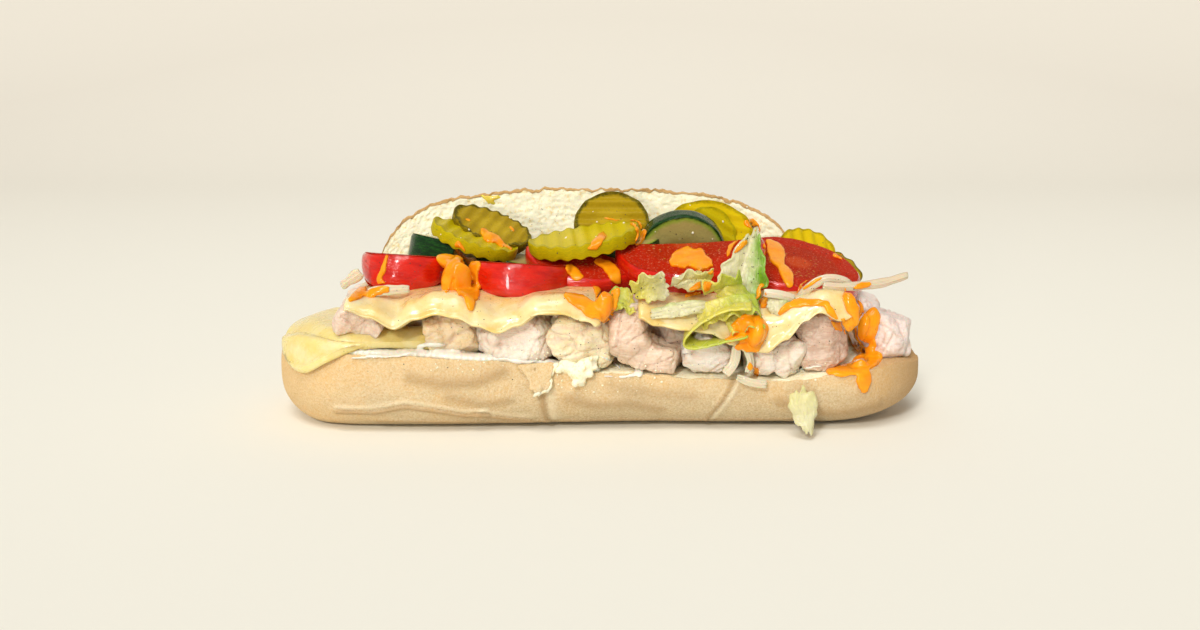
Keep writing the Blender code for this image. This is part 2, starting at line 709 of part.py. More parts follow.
def pickle(name):
    size, place = PICKLES[name]
    ridges = 2 * round(2 * size[0] * MM / CRINKLE_PITCH)
    shape = {"across": ridges, "along": 3, "through": 1, "wave": CRINKLE_DEPTH}
    return flat_slice(name, "pickle", size, place, 1.0, **shape)


# What is fused on: sauce, a tuft of crumb, a lifted flap of crust


def blob(name, centre, size, finish, seed=0, turn=(0, 0, 0), detail=2):
    """A soft drop, as a squashed ball with a little unevenness."""
    bm = bmesh.new()
    bmesh.ops.create_icosphere(bm, subdivisions=detail, radius=1)
    spin = Euler([math.radians(a) for a in turn]).to_matrix()
    for vertex in bm.verts:
        p = vertex.co * (1 + 0.12 * lumps(vertex.co, 0.8, seed))
        vertex.co = Vector(centre) * MM + spin @ Vector([0.5 * size[k] * p[k] for k in range(3)]) * MM
    return finished(name, bm, finish)


# Centre, size and turn of the sauce that lies thick enough to be felt, by the piece that it lies on
SAUCE = {
    "roll": [((97, -29.5, 19), (6.5, 8, 15), (0, 6, 0))],
    "tomato_1": [((-57, -12, 60.2), (12, 12, 6), (0, 20, 0)), ((-55.5, -20, 55), (9.5, 6, 15), (8, 8, 0))],
    "cheese_right": [((57, -38.5, 39), (12, 7, 11), (0, 12, 0)), ((91, -36, 46), (8, 7, 16), (6, -8, 0))],
    "chicken_10": [((103, -18, 37), (8, 8, 14), (0, 14, 0))],
}
# Torn crumb that hangs out over the front crust
TUFT = [
    ((-12, -36.5, 26), (7, 6, 6)), ((-8, -38, 24), (8, 6, 7)),
    ((-4.5, -37, 26.5), (7, 6, 6)), ((-7.5, -38, 21), (5, 5, 5)),
]


def crust_flap(u, v):
    """A flake of crust that has split off above a crack, and stands away from the side at its tip."""
    s, t = 0.5 + 0.5 * u, 0.5 + 0.5 * v
    top = Vector((-27, -36.3, 27)).lerp(Vector((-15, -36.6, 27.5)), s)
    tip = Vector((-23, -39.6, 17.5)).lerp(Vector((-20, -39.4, 17)), s)
    return tip.lerp(top, t) * MM


def with_sauce(thing):
    """Fuses on the sauce that lies on a piece."""
    drops = [
        blob(f"{thing.name}_sauce{k}", centre, size, thing.data.materials[0].name, k, turn)
        for k, (centre, size, turn) in enumerate(SAUCE[thing.name])
    ]
    return join(thing, drops)


def roll():
    base = finished("roll", roll_base(), "crust")
    lid = finished("roll_lid", roll_lid(), "crust")
    tuft = [blob(f"crumb{k}", centre, size, "crust", k, detail=1) for k, (centre, size) in enumerate(TUFT)]
    flap = sheet("flap", 2, 2, crust_flap, 1.6 * MM, "crust")
    return with_sauce(join(base, [lid, flap, *tuft]))


def main():
    for old in list(bpy.data.objects):
        bpy.data.objects.remove(old)

    bread = roll()
    left = draped(-93, 1, LEFT_CHEESE_EDGE, LEFT_CHEESE_BEND, -38, 50)
    right = draped(14, 94, RIGHT_CHEESE_EDGE, RIGHT_CHEESE_BEND, -37, 49.5)
    thin = [
        sheet("cheese_low", 6, 14, low_cheese, CHEESE_THICKNESS, "cheese"),
        sheet("cheese_left", 22, 7, left, CHEESE_THICKNESS, "cheese"),
        with_sauce(sheet("cheese_right", 20, 7, right, CHEESE_THICKNESS, "cheese")),
    ]
    for name, (corners, curl, ripple, seed) in LEAVES.items():
        size = 8 if name == "lettuce_tall" else 5
        thin.append(sheet(name, size, size, leaf(corners, curl, ripple, seed), LEAF_THICKNESS, "lettuce"))
    thin.append(sheet("lettuce_curl", 14, 3, lettuce_curl, LEAF_THICKNESS, "lettuce"))
    for name, (points, width, twist) in ONIONS.items():
        thin.append(sheet(name, 8, 1, strip(points, width, twist), ONION_THICKNESS, "onion"))
    thick = [pickle(n) for n in PICKLES] + [cucumber(n) for n in CUCUMBERS] + [tomato(n) for n in TOMATOES]
    thick += [chicken(n) for n in CHUNKS] + [chicken_heap()]

    placed = [bread]
    for piece in thin + thick:
        if piece.name in SAUCE and piece.name not in ("roll", "cheese_right"):
            with_sauce(piece)
        cut_clear(piece, placed)
        placed.append(piece)


main()
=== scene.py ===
import math
import random

import bmesh
import bpy
from mathutils import Euler, Matrix, Vector, noise
from mathutils.bvhtree import BVHTree


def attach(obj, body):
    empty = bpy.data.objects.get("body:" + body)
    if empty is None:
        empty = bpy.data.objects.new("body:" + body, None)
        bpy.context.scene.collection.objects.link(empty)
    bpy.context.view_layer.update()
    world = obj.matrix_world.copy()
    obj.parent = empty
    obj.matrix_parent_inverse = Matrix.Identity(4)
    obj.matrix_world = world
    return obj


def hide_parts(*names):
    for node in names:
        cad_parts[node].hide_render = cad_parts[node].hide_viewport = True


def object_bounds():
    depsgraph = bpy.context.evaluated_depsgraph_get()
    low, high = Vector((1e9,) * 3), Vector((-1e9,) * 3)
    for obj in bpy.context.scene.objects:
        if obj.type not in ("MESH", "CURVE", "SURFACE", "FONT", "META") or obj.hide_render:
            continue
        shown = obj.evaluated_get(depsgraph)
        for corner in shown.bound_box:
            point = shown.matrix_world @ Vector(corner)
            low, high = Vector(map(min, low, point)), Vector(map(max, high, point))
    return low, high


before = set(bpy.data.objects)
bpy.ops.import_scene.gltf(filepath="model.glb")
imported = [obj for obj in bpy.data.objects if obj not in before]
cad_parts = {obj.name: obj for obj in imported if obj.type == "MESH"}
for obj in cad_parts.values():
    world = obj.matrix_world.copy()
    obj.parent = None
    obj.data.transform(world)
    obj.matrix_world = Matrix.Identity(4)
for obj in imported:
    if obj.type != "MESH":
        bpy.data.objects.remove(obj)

cad_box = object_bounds()
MM = 0.001


# The table and the studio
# A warm off-white paper sweep, flat under the food and curved up far behind it. Three large lamps
# light it, from above, from the front and from low down, in a white room. The lens is a plain 35 mm one.

CAMERA_TARGET = Vector((0, 0, 37.2 * MM))
CAMERA_DISTANCE = 463 * MM
CAMERA_RISE = math.radians(12)
LENS = 35
SENSOR = 36
PHOTO_WIDTH, PHOTO_HEIGHT = 1200, 630

camera_data = bpy.data.cameras.new("camera")
camera_data.lens = LENS
camera_data.sensor_width = SENSOR
camera_data.clip_start = 0.01
camera = bpy.data.objects.new("camera", camera_data)
bpy.context.scene.collection.objects.link(camera)
camera_way = Vector((0, -math.cos(CAMERA_RISE), math.sin(CAMERA_RISE)))
camera.location = CAMERA_TARGET + CAMERA_DISTANCE * camera_way
camera.rotation_euler = (math.pi / 2 - CAMERA_RISE, 0, 0)
bpy.context.scene.camera = camera
bpy.context.scene.view_settings.view_transform = "Standard"


def node_of(tree, kind, **values):
    """A new shader node, with its sockets and settings given by name."""
    made = tree.nodes.new(kind)
    for name, value in values.items():
        socket = made.inputs.get(name.replace("_", " "))
        if socket is None:
            setattr(made, name, value)
        else:
            socket.default_value = value
    return made


def paint(name, **values):
    """A material and its shader, with the sockets that are the same all over set on it."""
    made = bpy.data.materials.new(name)
    made.use_nodes = True
    shader = made.node_tree.nodes["Principled BSDF"]
    for socket, value in values.items():
        shader.inputs[socket.replace("_", " ")].default_value = value
    return made, made.node_tree, shader


def ramp(tree, factor, stops):
    """A colour ramp driven by factor, with stops as (place, colour)."""
    made = tree.nodes.new("ShaderNodeValToRGB")
    elements = made.color_ramp.elements
    while len(elements) < len(stops):
        elements.new(0.5)
    for element, (place, colour) in zip(elements, stops):
        element.position = place
        element.color = (*colour, 1)
    tree.links.new(factor, made.inputs["Fac"])
    return made.outputs["Color"]


def plug(tree, value, socket):
    """Gives a socket another socket's value, a colour or a number."""
    if isinstance(value, bpy.types.NodeSocket):
        tree.links.new(value, socket)
    else:
        socket.default_value = (*value, 1) if socket.type == "RGBA" else value


def blended(tree, factor, first, second):
    """One colour laid over another by a factor; each of the three is a socket or a plain value."""
    made = tree.nodes.new("ShaderNodeMix")
    made.data_type = "RGBA"
    ends = [s for s in made.inputs if s.type == "RGBA"]
    for socket, value in ((made.inputs["Factor"], factor), (ends[0], first), (ends[1], second)):
        plug(tree, value, socket)
    return next(out for out in made.outputs if out.type == "RGBA")


def calc(tree, kind, a, b=0.0):
    """One sum on sockets or numbers."""
    made = tree.nodes.new("ShaderNodeMath")
    made.operation = kind
    for socket, value in zip(made.inputs, (a, b)):
        plug(tree, value, socket)
    return made.outputs[0]


def product(tree, a, b):
    return calc(tree, "MULTIPLY", a, b)


def stretch(tree, value, low, high, start=0.0, end=1.0):
    """A number taken from one span to another, and held at the ends."""
    made = node_of(tree, "ShaderNodeMapRange", From_Min=low, From_Max=high, To_Min=start, To_Max=end)
    tree.links.new(value, made.inputs["Value"])
    return made.outputs["Result"]


def object_place(tree):
    return node_of(tree, "ShaderNodeTexCoord").outputs["Object"]


def clouds(tree, place, scale, detail=4.0, roughness=0.6):
    """Cloudy noise, with scale in repeats for each unit of place."""
    made = node_of(tree, "ShaderNodeTexNoise", Scale=scale, Detail=detail, Roughness=roughness)
    tree.links.new(place, made.inputs["Vector"])
    return made.outputs["Fac"]


TABLE_COLOUR = (0.912, 0.893, 0.803)
TABLE_SHADE = (0.660, 0.622, 0.548)
SHADE_SPAN = (0.1, 1.6)
TABLE_HALF = 4
SWEEP_START = 0.9
SWEEP_RADIUS = 1.2

table_paint, tree, shader = paint("table_paper", Roughness=0.95, Specular_IOR_Level=0.1)
place = object_place(tree)
# The paper's colour is painted darker further from the middle, a painted shade.
far = node_of(tree, "ShaderNodeVectorMath", operation="LENGTH")
tree.links.new(place, far.inputs[0])
away = stretch(tree, far.outputs["Value"], *SHADE_SPAN)
spread = ramp(tree, away, [(0.0, TABLE_COLOUR), (1.0, TABLE_SHADE)])
grained = blended(tree, product(tree, clouds(tree, place, 4.0, 3), 0.03), spread, TABLE_SHADE)
tree.links.new(grained, shader.inputs["Base Color"])

bm = bmesh.new()
bmesh.ops.create_grid(bm, x_segments=8, y_segments=120, size=TABLE_HALF)
for vertex in bm.verts:
    past = max(0.0, vertex.co.y - SWEEP_START)
    turn = min(past / SWEEP_RADIUS, math.pi / 2)
    climb = max(0.0, past - SWEEP_RADIUS * math.pi / 2)
    if past:
        vertex.co.y = SWEEP_START + SWEEP_RADIUS * math.sin(turn)
        vertex.co.z = SWEEP_RADIUS * (1 - math.cos(turn)) + climb
table_mesh = bpy.data.meshes.new("table")
bm.to_mesh(table_mesh)
bm.free()
table_mesh.shade_smooth()
table_mesh.materials.append(table_paint)
table = bpy.data.objects.new("table", table_mesh)
bpy.context.scene.collection.objects.link(table)

ROOM_WHITE = (1.0, 0.985, 0.965)
ROOM_STRENGTH = 0.32
world = bpy.data.worlds.new("studio")
world.use_nodes = True
room = world.node_tree.nodes["Background"]
room.inputs["Color"].default_value = (*ROOM_WHITE, 1)
room.inputs["Strength"].default_value = ROOM_STRENGTH
bpy.context.scene.world = world

# Name, the way it shines, strength, softness in degrees, and colour
LAMPS = [
    ("lamp_above", (0.15, 0.50, -1.0), 1.32, 30, (1.0, 0.985, 0.95)),
    ("lamp_front", (0.40, 1.0, -0.70), 1.40, 9, (1.0, 0.98, 0.94)),
    ("lamp_low", (0.45, 1.0, -0.10), 0.50, 8, (1.0, 0.985, 0.95)),
]
for name, way, power, softness, colour in LAMPS:
    light = bpy.data.lights.new(name, "SUN")
    light.energy = power
    light.angle = math.radians(softness)
    light.color = colour
    lamp = bpy.data.objects.new(name, light)
    lamp.location = (0, 0, 1)
    lamp.rotation_euler = Vector(way).to_track_quat("-Z", "Y").to_euler()
    bpy.context.scene.collection.objects.link(lamp)


# The roll
# One soft white roll with a thin, matte, floured crust, baked on its flat. It is slit along the front
# and folded open, so that the lid stands on its hinge behind the filling. Both cut faces are open crumb.

ROLL_LENGTH = 252 * MM
ROLL_HALF_WIDTH = 37 * MM
BELLY_HEIGHT = 17 * MM
CROWN_RISE = 30 * MM
KEEL_DROP = 19.5 * MM
PLAN_END_RADIUS = 36 * MM
LEFT_END_RISE = 24 * MM
RIGHT_END_RISE = 44 * MM
SECTION_POWER = 2.4
LEFT_FULLNESS = 0.7
LEFT_SWELL = 1.8 * MM
RIGHT_LIFT = 0.9 * MM
BACK_EDGE_HEIGHT = 28.5 * MM
FRONT_EDGE = [
    (-126, 27), (-111, 31), (-74, 29.5), (-37, 27.5), (2, 23),
    (38, 21), (68, 20), (94, 23), (112, 25), (126, 22),
]
LID_HINGE = Vector((-4.5 * MM, 29 * MM, 27.5 * MM))
LID_HALF_LENGTH = 90 * MM
LID_HEIGHT = 57 * MM
LID_THICKNESS = 24 * MM
LID_LEAN = math.radians(12)
FLARE_HALF_LENGTH = 105 * MM
FLARE_HEIGHT = 25 * MM
UNCUT_FROM = 97 * MM
# How wide and how deep the pits of the crumb are on the lower half and on the lid
BASE_PITS = (2.2 * MM, 0.7 * MM)
LID_PITS = (2.1 * MM, 0.85 * MM)


def smooth(t):
    """0 below 0, 1 above 1, and a soft step between."""
    t = min(max(t, 0.0), 1.0)
    return t * t * (3 - 2 * t)


def mix(a, b, t):
    return a + (b - a) * t


def run_through(points, at):
    """The height at a place along x, on a soft line through (x, height) points in millimetres."""
    at = at / MM
    if at <= points[0][0]:
        return points[0][1] * MM
    for (x0, h0), (x1, h1) in zip(points, points[1:]):
        if at <= x1:
            return mix(h0, h1, smooth((at - x0) / (x1 - x0))) * MM
    return points[-1][1] * MM


def curve_point(points, t):
    """A place from 0 to 1 along a soft curve through points in millimetres."""
    place = min(max(t, 0.0), 1.0) * (len(points) - 1)
    k = min(int(place), len(points) - 2)
    t = place - k
    a, b = Vector(points[k]), Vector(points[k + 1])
    before, after = Vector(points[max(k - 1, 0)]), Vector(points[min(k + 2, len(points) - 1)])
    pull_a, pull_b = (b - before) * 0.5, (after - a) * 0.5
    point = a * (1 + 2 * t) * (1 - t) ** 2 + pull_a * t * (1 - t) ** 2
    point += b * t * t * (3 - 2 * t) + pull_b * t * t * (t - 1)
    return point * MM


def lumps(point, size, seed=0.0):
    """Smooth bumps from -1 to 1, about as wide as size."""
    return noise.noise(point / size + Vector((seed * 3.7, seed * 1.9, seed * 5.3)))


def end_round(x, rise, half_length):
    """1 along the body, falling to 0 at the tip on a quarter ellipse that is rise long."""
    past = max(0.0, abs(x) - (half_length - rise)) / rise
    return math.sqrt(max(0.0, 1 - min(past, 1.0) ** 2))


def leftness(x):
    return smooth((20 * MM - x) / (90 * MM))


def floor_at(x):
    return RIGHT_LIFT * smooth((x - 35 * MM) / (30 * MM))


def base_size_at(x):
    """Half width, rise above the belly, drop below it, and the cut's height at the front and back."""
    half = ROLL_LENGTH / 2
    rise = LEFT_END_RISE if x < 0 else RIGHT_END_RISE
    width = (ROLL_HALF_WIDTH + LEFT_SWELL * leftness(x)) * end_round(x, PLAN_END_RADIUS, half)
    up = CROWN_RISE * end_round(x, LEFT_END_RISE, half)
    down = KEEL_DROP * end_round(x, rise, half)
    crown = BELLY_HEIGHT + 0.8 * up
    return width, up, down, min(run_through(FRONT_EDGE, x), crown), min(BACK_EDGE_HEIGHT, crown)


def section_point(angle, width, up, down, power=SECTION_POWER):
    """A point of the crust's section, as (y, z)."""
    c, s = math.cos(angle), math.sin(angle)
    y = width * math.copysign(abs(c) ** (2 / power), c)
    z = (up if s > 0 else down) * math.copysign(abs(s) ** (2 / SECTION_POWER), s)
    return y, BELLY_HEIGHT + z


def edge_angle(height, up):
    return math.asin(min(1.0, max(0.0, (height - BELLY_HEIGHT) / max(up, 1e-6)) ** (SECTION_POWER / 2)))


def cut_face_height(x, y):
    """The height of the lower half's cut face, slightly hollow where the filling presses it."""
    width, up, _, front, back = base_size_at(x)
    across = min(max(0.5 + 0.5 * y / max(width, 1e-6), 0.0), 1.0)
    hollow = 1.5 * MM * math.sin(math.pi * across) ** 2 * end_round(x, PLAN_END_RADIUS, ROLL_LENGTH / 2)
    return mix(front, back, across) - hollow


def ball(segments, rings):
    bm = bmesh.new()
    lay_down = Matrix.Rotation(math.pi / 2, 4, "Y")
    bmesh.ops.create_uvsphere(bm, u_segments=segments, v_segments=rings, radius=1, matrix=lay_down)
    return bm


def turn_about_x(vertex, segments):
    """How far round the x axis a vertex of a ball lies, in whole steps."""
    step = 2 * math.pi / segments
    return round(math.atan2(vertex.co.z, vertex.co.y) / step) * step


def pores(point, size, depth):
    """How deep an open crumb is at a point: round pits of two sizes, with thin walls between."""
    pit = 0.0
    for scale, share in ((1.0, 0.6), (0.45, 0.4)):
        near = noise.voronoi(point / (size * scale))[0][0]
        pit += share * max(0.0, 1 - (near / 0.5) ** 2)
    return -depth * pit


def piece_from(name, bm, material, stands_for=(), sharp=None, second=None):
    """Turns a bmesh into a piece of the sandwich and hides the solids that it stands for. Faces that are
    marked as the second kind get the second material."""
    mesh = bpy.data.meshes.new(name)
    bmesh.ops.recalc_face_normals(bm, faces=bm.faces)
    bm.to_mesh(mesh)
    bm.free()
    mesh.shade_smooth()
    if sharp:
        mesh.set_sharp_from_angle(angle=math.radians(sharp))
    for finish in (material, second):
        if finish:
            mesh.materials.append(finish)
    made = bpy.data.objects.new(name, mesh)
    bpy.context.scene.collection.objects.link(made)
    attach(made, "root")
    if stands_for:
        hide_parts(*stands_for)
    return made


# The creases of the front crust: points along x and z in millimetres, how deep and how wide.
# A negative depth stands out, as beside a split.
CREASES = [
    ([(-98, 8.2), (-84, 8), (-72, 10.6), (-62, 9), (-50, 6.4), (-42, 7)], 1.5, 1.0),
    ([(-98, 10), (-84, 9.8), (-72, 12.2), (-62, 10.8), (-50, 8.2), (-42, 8.6)], -0.8, 1.2),
    ([(-46, 6.5), (-34, 4.5), (-26, 3.2)], 1.2, 1.0),
    ([(-44, 8.2), (-34, 6.2), (-26, 5.0)], -0.6, 1.2),
    ([(-24, 25), (-21.5, 17), (-21, 9), (-20, 3)], 1.7, 1.0),
    ([(-19, 20), (-18, 12), (-17, 5)], -0.8, 2.2),
    ([(49.5, 21), (47, 16), (44, 11), (41.5, 7), (40, 3)], 1.6, 0.8),
    ([(51.5, 21), (49, 16), (46, 11), (43.5, 7), (42, 3)], -1.0, 1.3),
    ([(-70, 22), (-58, 20), (-46, 20.5), (-36, 24)], 0.9, 2.4),
    ([(-56, 15), (-44, 12), (-34, 13)], 0.7, 2.0),
    ([(-12, 14), (-2, 11), (10, 12), (22, 9)], 0.8, 2.4),
    ([(4, 19), (18, 16), (34, 15)], 0.6, 2.6),
    ([(66, 13), (76, 9), (88, 7), (104, 10)], 0.8, 2.4),
    ([(-84, 3.6), (-60, 3.0), (-40, 2.4), (0, 2.8), (40, 2.8), (80, 3.6)], 1.1, 0.8),
]


def crease_depth(x, z):
    """How far the creases pull the front crust in at a place."""
    total = 0.0
    spot = Vector((x / MM, z / MM))
    for points, depth, width in CREASES:
        margin = 3 * width
        left, right = sorted((points[0][0], points[-1][0]))
        if not left - margin < spot.x < right + margin:
            continue
        near = 1e9
        for start, end in zip(points, points[1:]):
            a, b = Vector(start), Vector(end)
            t = min(max((spot - a).dot(b - a) / (b - a).length_squared, 0.0), 1.0)
            near = min(near, (spot - a.lerp(b, t)).length)
        if near < margin:
            total += depth * math.exp(-((near / width) ** 2))
    return total * MM


BASE_SEGMENTS, BASE_RINGS = 260, 380

bm = ball(BASE_SEGMENTS, BASE_RINGS)
crumb = bm.verts.layers.float.new("crumb")
creased = bm.verts.layers.float.new("creased")
raised = bm.verts.layers.float.new("raised")
for vertex in bm.verts:
    turn = turn_about_x(vertex, BASE_SEGMENTS)
    x = vertex.co.x * ROLL_LENGTH / 2
    width, up, down, front, back = base_size_at(x)
    front_turn, back_turn = edge_angle(front, up), edge_angle(back, up)
    y_front = section_point(math.pi - front_turn, width, up, down)[0]
    y_back = section_point(back_turn, width, up, down)[0]
    if 1e-6 < turn < math.pi - 1e-6:
        share = turn / math.pi
        y = mix(y_back, y_front, share)
        spot = Vector((x, y, 0))
        rim = min(share, 1 - share) * (y_back - y_front)
        z = cut_face_height(x, y) + 0.5 * MM * lumps(spot, 9 * MM)
        z += (pores(spot, *BASE_PITS) + 0.2 * MM * lumps(spot, 1.6 * MM, 3)) * smooth(rim / (1.5 * MM))
        ragged = 0.7 * lumps(spot, 3.5 * MM, 9) + 0.4 * lumps(spot, 1.5 * MM, 19)
        z += ragged * MM * smooth(1 - rim / (3 * MM))
        uncut = smooth((x + 1.5 * MM * lumps(spot, 4 * MM, 15) - UNCUT_FROM) / (5 * MM))
        vertex[crumb] = smooth((rim - 0.2 * MM) / (0.9 * MM)) * (1 - uncut)
    else:
        along = 1 - (1 + turn / math.pi) ** 1.4 if turn <= 0 else 1.0
        power = SECTION_POWER + LEFT_FULLNESS * leftness(x) * smooth((along - 0.3) / 0.4)
        y, z = section_point(mix(back_turn, -math.pi - front_turn, along), width, up, down, power)
        spot = Vector((x, y, z))
        y *= 1 + 0.02 * lumps(spot, 26 * MM, 2)
        tight = 0.35 * MM * lumps(spot, 8 * MM, 5) + 0.12 * MM * lumps(spot, 2.4 * MM, 6)
        if y < 0:
            depth = crease_depth(x, z)
            tight -= depth
            # How deep the crease is, kept on the vertex so that it can be painted darker as painted shade.
            vertex[creased] = min(max(depth / MM, 0.0), 1.0)
            # How far the crust stands out beside a crease, kept so that it can be painted paler as painted
            # highlight.
            vertex[raised] = min(max(-depth / MM, 0.0), 1.0)
        y += math.copysign(tight, y) * smooth(abs(y) / (10 * MM))
        z = max(z, floor_at(x))
    vertex.co = (x, y, z)

CRUST_PALE = (0.760, 0.550, 0.290)
CRUST_GOLD = (0.830, 0.510, 0.190)
CRUST_TOAST = (0.520, 0.270, 0.085)
CRUST_BROWN = (0.640, 0.370, 0.130)
# A greyer tone at random, and also the painted shade at the foot of the crust.
CRUST_GREY = (0.540, 0.400, 0.215)
# The darker colour painted into the creases, a painted shade.
CRUST_FOLD = (0.400, 0.230, 0.090)
# Flour dust, and also the paler colour painted on the raised ridges, a painted highlight.
FLOUR = (0.930, 0.810, 0.570)
CRUMB = (0.980, 0.930, 0.690)
CRUMB_DEEP = (0.920, 0.740, 0.380)


def share_of(tree, title):
    """A number that was stored on the piece's vertices."""
    return node_of(tree, "ShaderNodeAttribute", attribute_name=title).outputs["Fac"]


def relief(tree, shader, height, distance, strength=1.0):
    """Roughness of the surface that is finer than its mesh, in metres."""
    made = node_of(tree, "ShaderNodeBump", Strength=strength, Distance=distance)
    tree.links.new(height, made.inputs["Height"])
    tree.links.new(made.outputs["Normal"], shader.inputs["Normal"])


def strayed(tree, value, place, scale, detail, amount):
    """A number that strays by up to amount either way, in clouds."""
    stray = stretch(tree, clouds(tree, place, scale, detail), 0.0, 1.0, -amount, amount)
    return calc(tree, "ADD", value, stray)


crust_paint, tree, shader = paint(
    "crust_and_crumb", Roughness=0.75, Specular_IOR_Level=0.25, Subsurface_Weight=0.15,
    Subsurface_Scale=0.003, Subsurface_Radius=(1.0, 0.6, 0.35),
)
place = object_place(tree)
apart = node_of(tree, "ShaderNodeSeparateXYZ")
tree.links.new(place, apart.inputs[0])
baked = ramp(tree, clouds(tree, place, 55, 6), [(0.34, CRUST_GOLD), (0.50, CRUST_PALE), (0.74, CRUST_GREY)])
# The crust is painted greyer towards its foot, a painted shade.
greyed = product(tree, stretch(tree, apart.outputs["Z"], 0.020, 0.005), 0.9)
# Each layer of colour: where it lies, and what it is
LAYERS = [
    (product(tree, stretch(tree, apart.outputs["Z"], 0.010, 0.024), 0.45), CRUST_GOLD),
    (product(tree, greyed, stretch(tree, apart.outputs["X"], -0.09, -0.02, 0.3, 1.0)), CRUST_GREY),
    (product(tree, stretch(tree, clouds(tree, place, 1300, 6, 0.8), 0.40, 0.64), 0.65), FLOUR),
    (product(tree, stretch(tree, apart.outputs["X"], -0.085, -0.128), 0.65), CRUST_GOLD),
    (product(tree, stretch(tree, apart.outputs["X"], 0.085, 0.125), 0.75), CRUST_TOAST),
    # Raised ridges beside the creases are painted paler, a painted highlight.
    (product(tree, share_of(tree, "raised"), 0.6), FLOUR),
    # The creases are painted darker, a painted shade.
    (product(tree, share_of(tree, "creased"), 0.55), CRUST_FOLD),
    (stretch(tree, clouds(tree, place, 1200, 3, 0.7), 0.58, 0.70, 0.0, 0.4), CRUST_TOAST),
]
for share, colour in LAYERS:
    baked = blended(tree, share, baked, colour)
inside = ramp(tree, clouds(tree, place, 560, 5, 0.7), [(0.35, CRUMB_DEEP), (0.47, CRUMB)])
torn = strayed(tree, share_of(tree, "crumb"), place, 500, 4, 0.35)
is_crumb = stretch(tree, torn, 0.35, 0.60)
browned = blended(tree, share_of(tree, "toasted"), baked, CRUST_BROWN)
tree.links.new(blended(tree, is_crumb, browned, inside), shader.inputs["Base Color"])
skin = calc(tree, "ADD", clouds(tree, place, 1300, 5, 0.7), product(tree, clouds(tree, place, 300, 3), 0.8))
skin = product(tree, skin, stretch(tree, is_crumb, 0.0, 1.0, 1.0, 0.35))
relief(tree, shader, skin, 0.0008, 0.8)

roll_base = piece_from("roll_base", bm, crust_paint, ["roll"])

LID_SEGMENTS, LID_RINGS = 230, 420


def lid_height_at(x):
    """How far the lid's free edge stands above the hinge: its outline, and the low flare past its ends."""
    out = abs(x - LID_HINGE.x)
    own = LID_HEIGHT * max(0.0, 1 - (out / LID_HALF_LENGTH) ** 3) ** 0.25
    flare = FLARE_HEIGHT * math.sqrt(max(0.0, 1 - (out / FLARE_HALF_LENGTH) ** 2))
    return max(own, flare)


def lid_point(x, up, out):
    """A point of the lid, from its height above the hinge and its distance behind the cut face."""
    lean_y, lean_z = math.sin(LID_LEAN), math.cos(LID_LEAN)
    return Vector((x, LID_HINGE.y + up * lean_y + out * lean_z, LID_HINGE.z + up * lean_z - out * lean_y))


bm = ball(LID_SEGMENTS, LID_RINGS)
crumb = bm.verts.layers.float.new("crumb")
toasted = bm.verts.layers.float.new("toasted")
for vertex in bm.verts:
    turn = turn_about_x(vertex, LID_SEGMENTS)
    x = LID_HINGE.x + vertex.co.x * FLARE_HALF_LENGTH
    height = lid_height_at(x)
    thick = LID_THICKNESS * (height / LID_HEIGHT) ** 0.8
    middle, upper, lower = 0.46 * height, 0.54 * height, 0.55 * height
    if 1e-6 < turn < math.pi - 1e-6:
        share = 1 - turn / math.pi
        up = mix(middle - lower, middle + upper, share)
        spot = Vector((x, up, 0))
        out = 0.6 * MM * lumps(spot, 7 * MM, 4) + 1.2 * MM * math.sin(math.pi * share)
        edge_gap = min(middle + upper - up, (FLARE_HALF_LENGTH - abs(x - LID_HINGE.x)))
        inner = smooth(edge_gap / (1.6 * MM))
        out += (-pores(spot, *LID_PITS) + 0.12 * MM * lumps(spot, 1.2 * MM, 3)) * inner
        out += 0.25 * MM * lumps(spot, 5 * MM, 11) * inner
        tear = 1.3 * lumps(spot, 2.4 * MM, 12)
        torn_edge = tear + 1.2 * abs(x - LID_HINGE.x) / LID_HALF_LENGTH
        vertex[crumb] = smooth((edge_gap / MM + tear - 0.2 - torn_edge * 0.5) / 1.4)
    else:
        along = -turn / math.pi if turn <= 0 else 1.0
        angle = mix(math.pi / 2, -math.pi / 2, along)
        c, s = max(math.cos(angle), 0.0), math.sin(angle)
        reach = upper if s > 0 else lower
        up = middle + reach * math.copysign(abs(s) ** (2 / SECTION_POWER), s)
        out = thick * c ** (2 / SECTION_POWER)
        spot = Vector((x, up, out))
        out += 0.5 * MM * lumps(spot, 15 * MM, 6) + 0.12 * MM * lumps(spot, 3 * MM, 7)
    edge = smooth((up / max(height, 1e-6) - 0.85) / 0.15)
    vertex[toasted] = 0.8 * smooth((up / max(height, 1e-6) - 0.9) / 0.1) * smooth(1 - out / (6 * MM))
    up += edge * 1.0 * MM * lumps(Vector((x, 0, 0)), 5 * MM, 8)
    up += edge * 0.9 * MM * lumps(Vector((x, out, 0)), 1.8 * MM, 9)
    vertex.co = lid_point(x, up, out)
roll_lid = piece_from("roll_lid", bm, crust_paint)


def block(across, along, through):
    """A box from -1 to 1, with that many faces along x, y and z."""
    bm = bmesh.new()
    bmesh.ops.create_grid(bm, x_segments=across, y_segments=along, size=1)
    bmesh.ops.translate(bm, vec=(0, 0, -1), verts=bm.verts)
    top = bm.faces[:]
    for layer in range(through):
        grown = bmesh.ops.extrude_face_region(bm, geom=top)["geom"]
        bmesh.ops.translate(
            bm, vec=(0, 0, 2 / through), verts=[v for v in grown if isinstance(v, bmesh.types.BMVert)]
        )
        if layer:
            bmesh.ops.delete(bm, geom=top, context="FACES")
        top = [f for f in grown if isinstance(f, bmesh.types.BMFace)]
    return bm


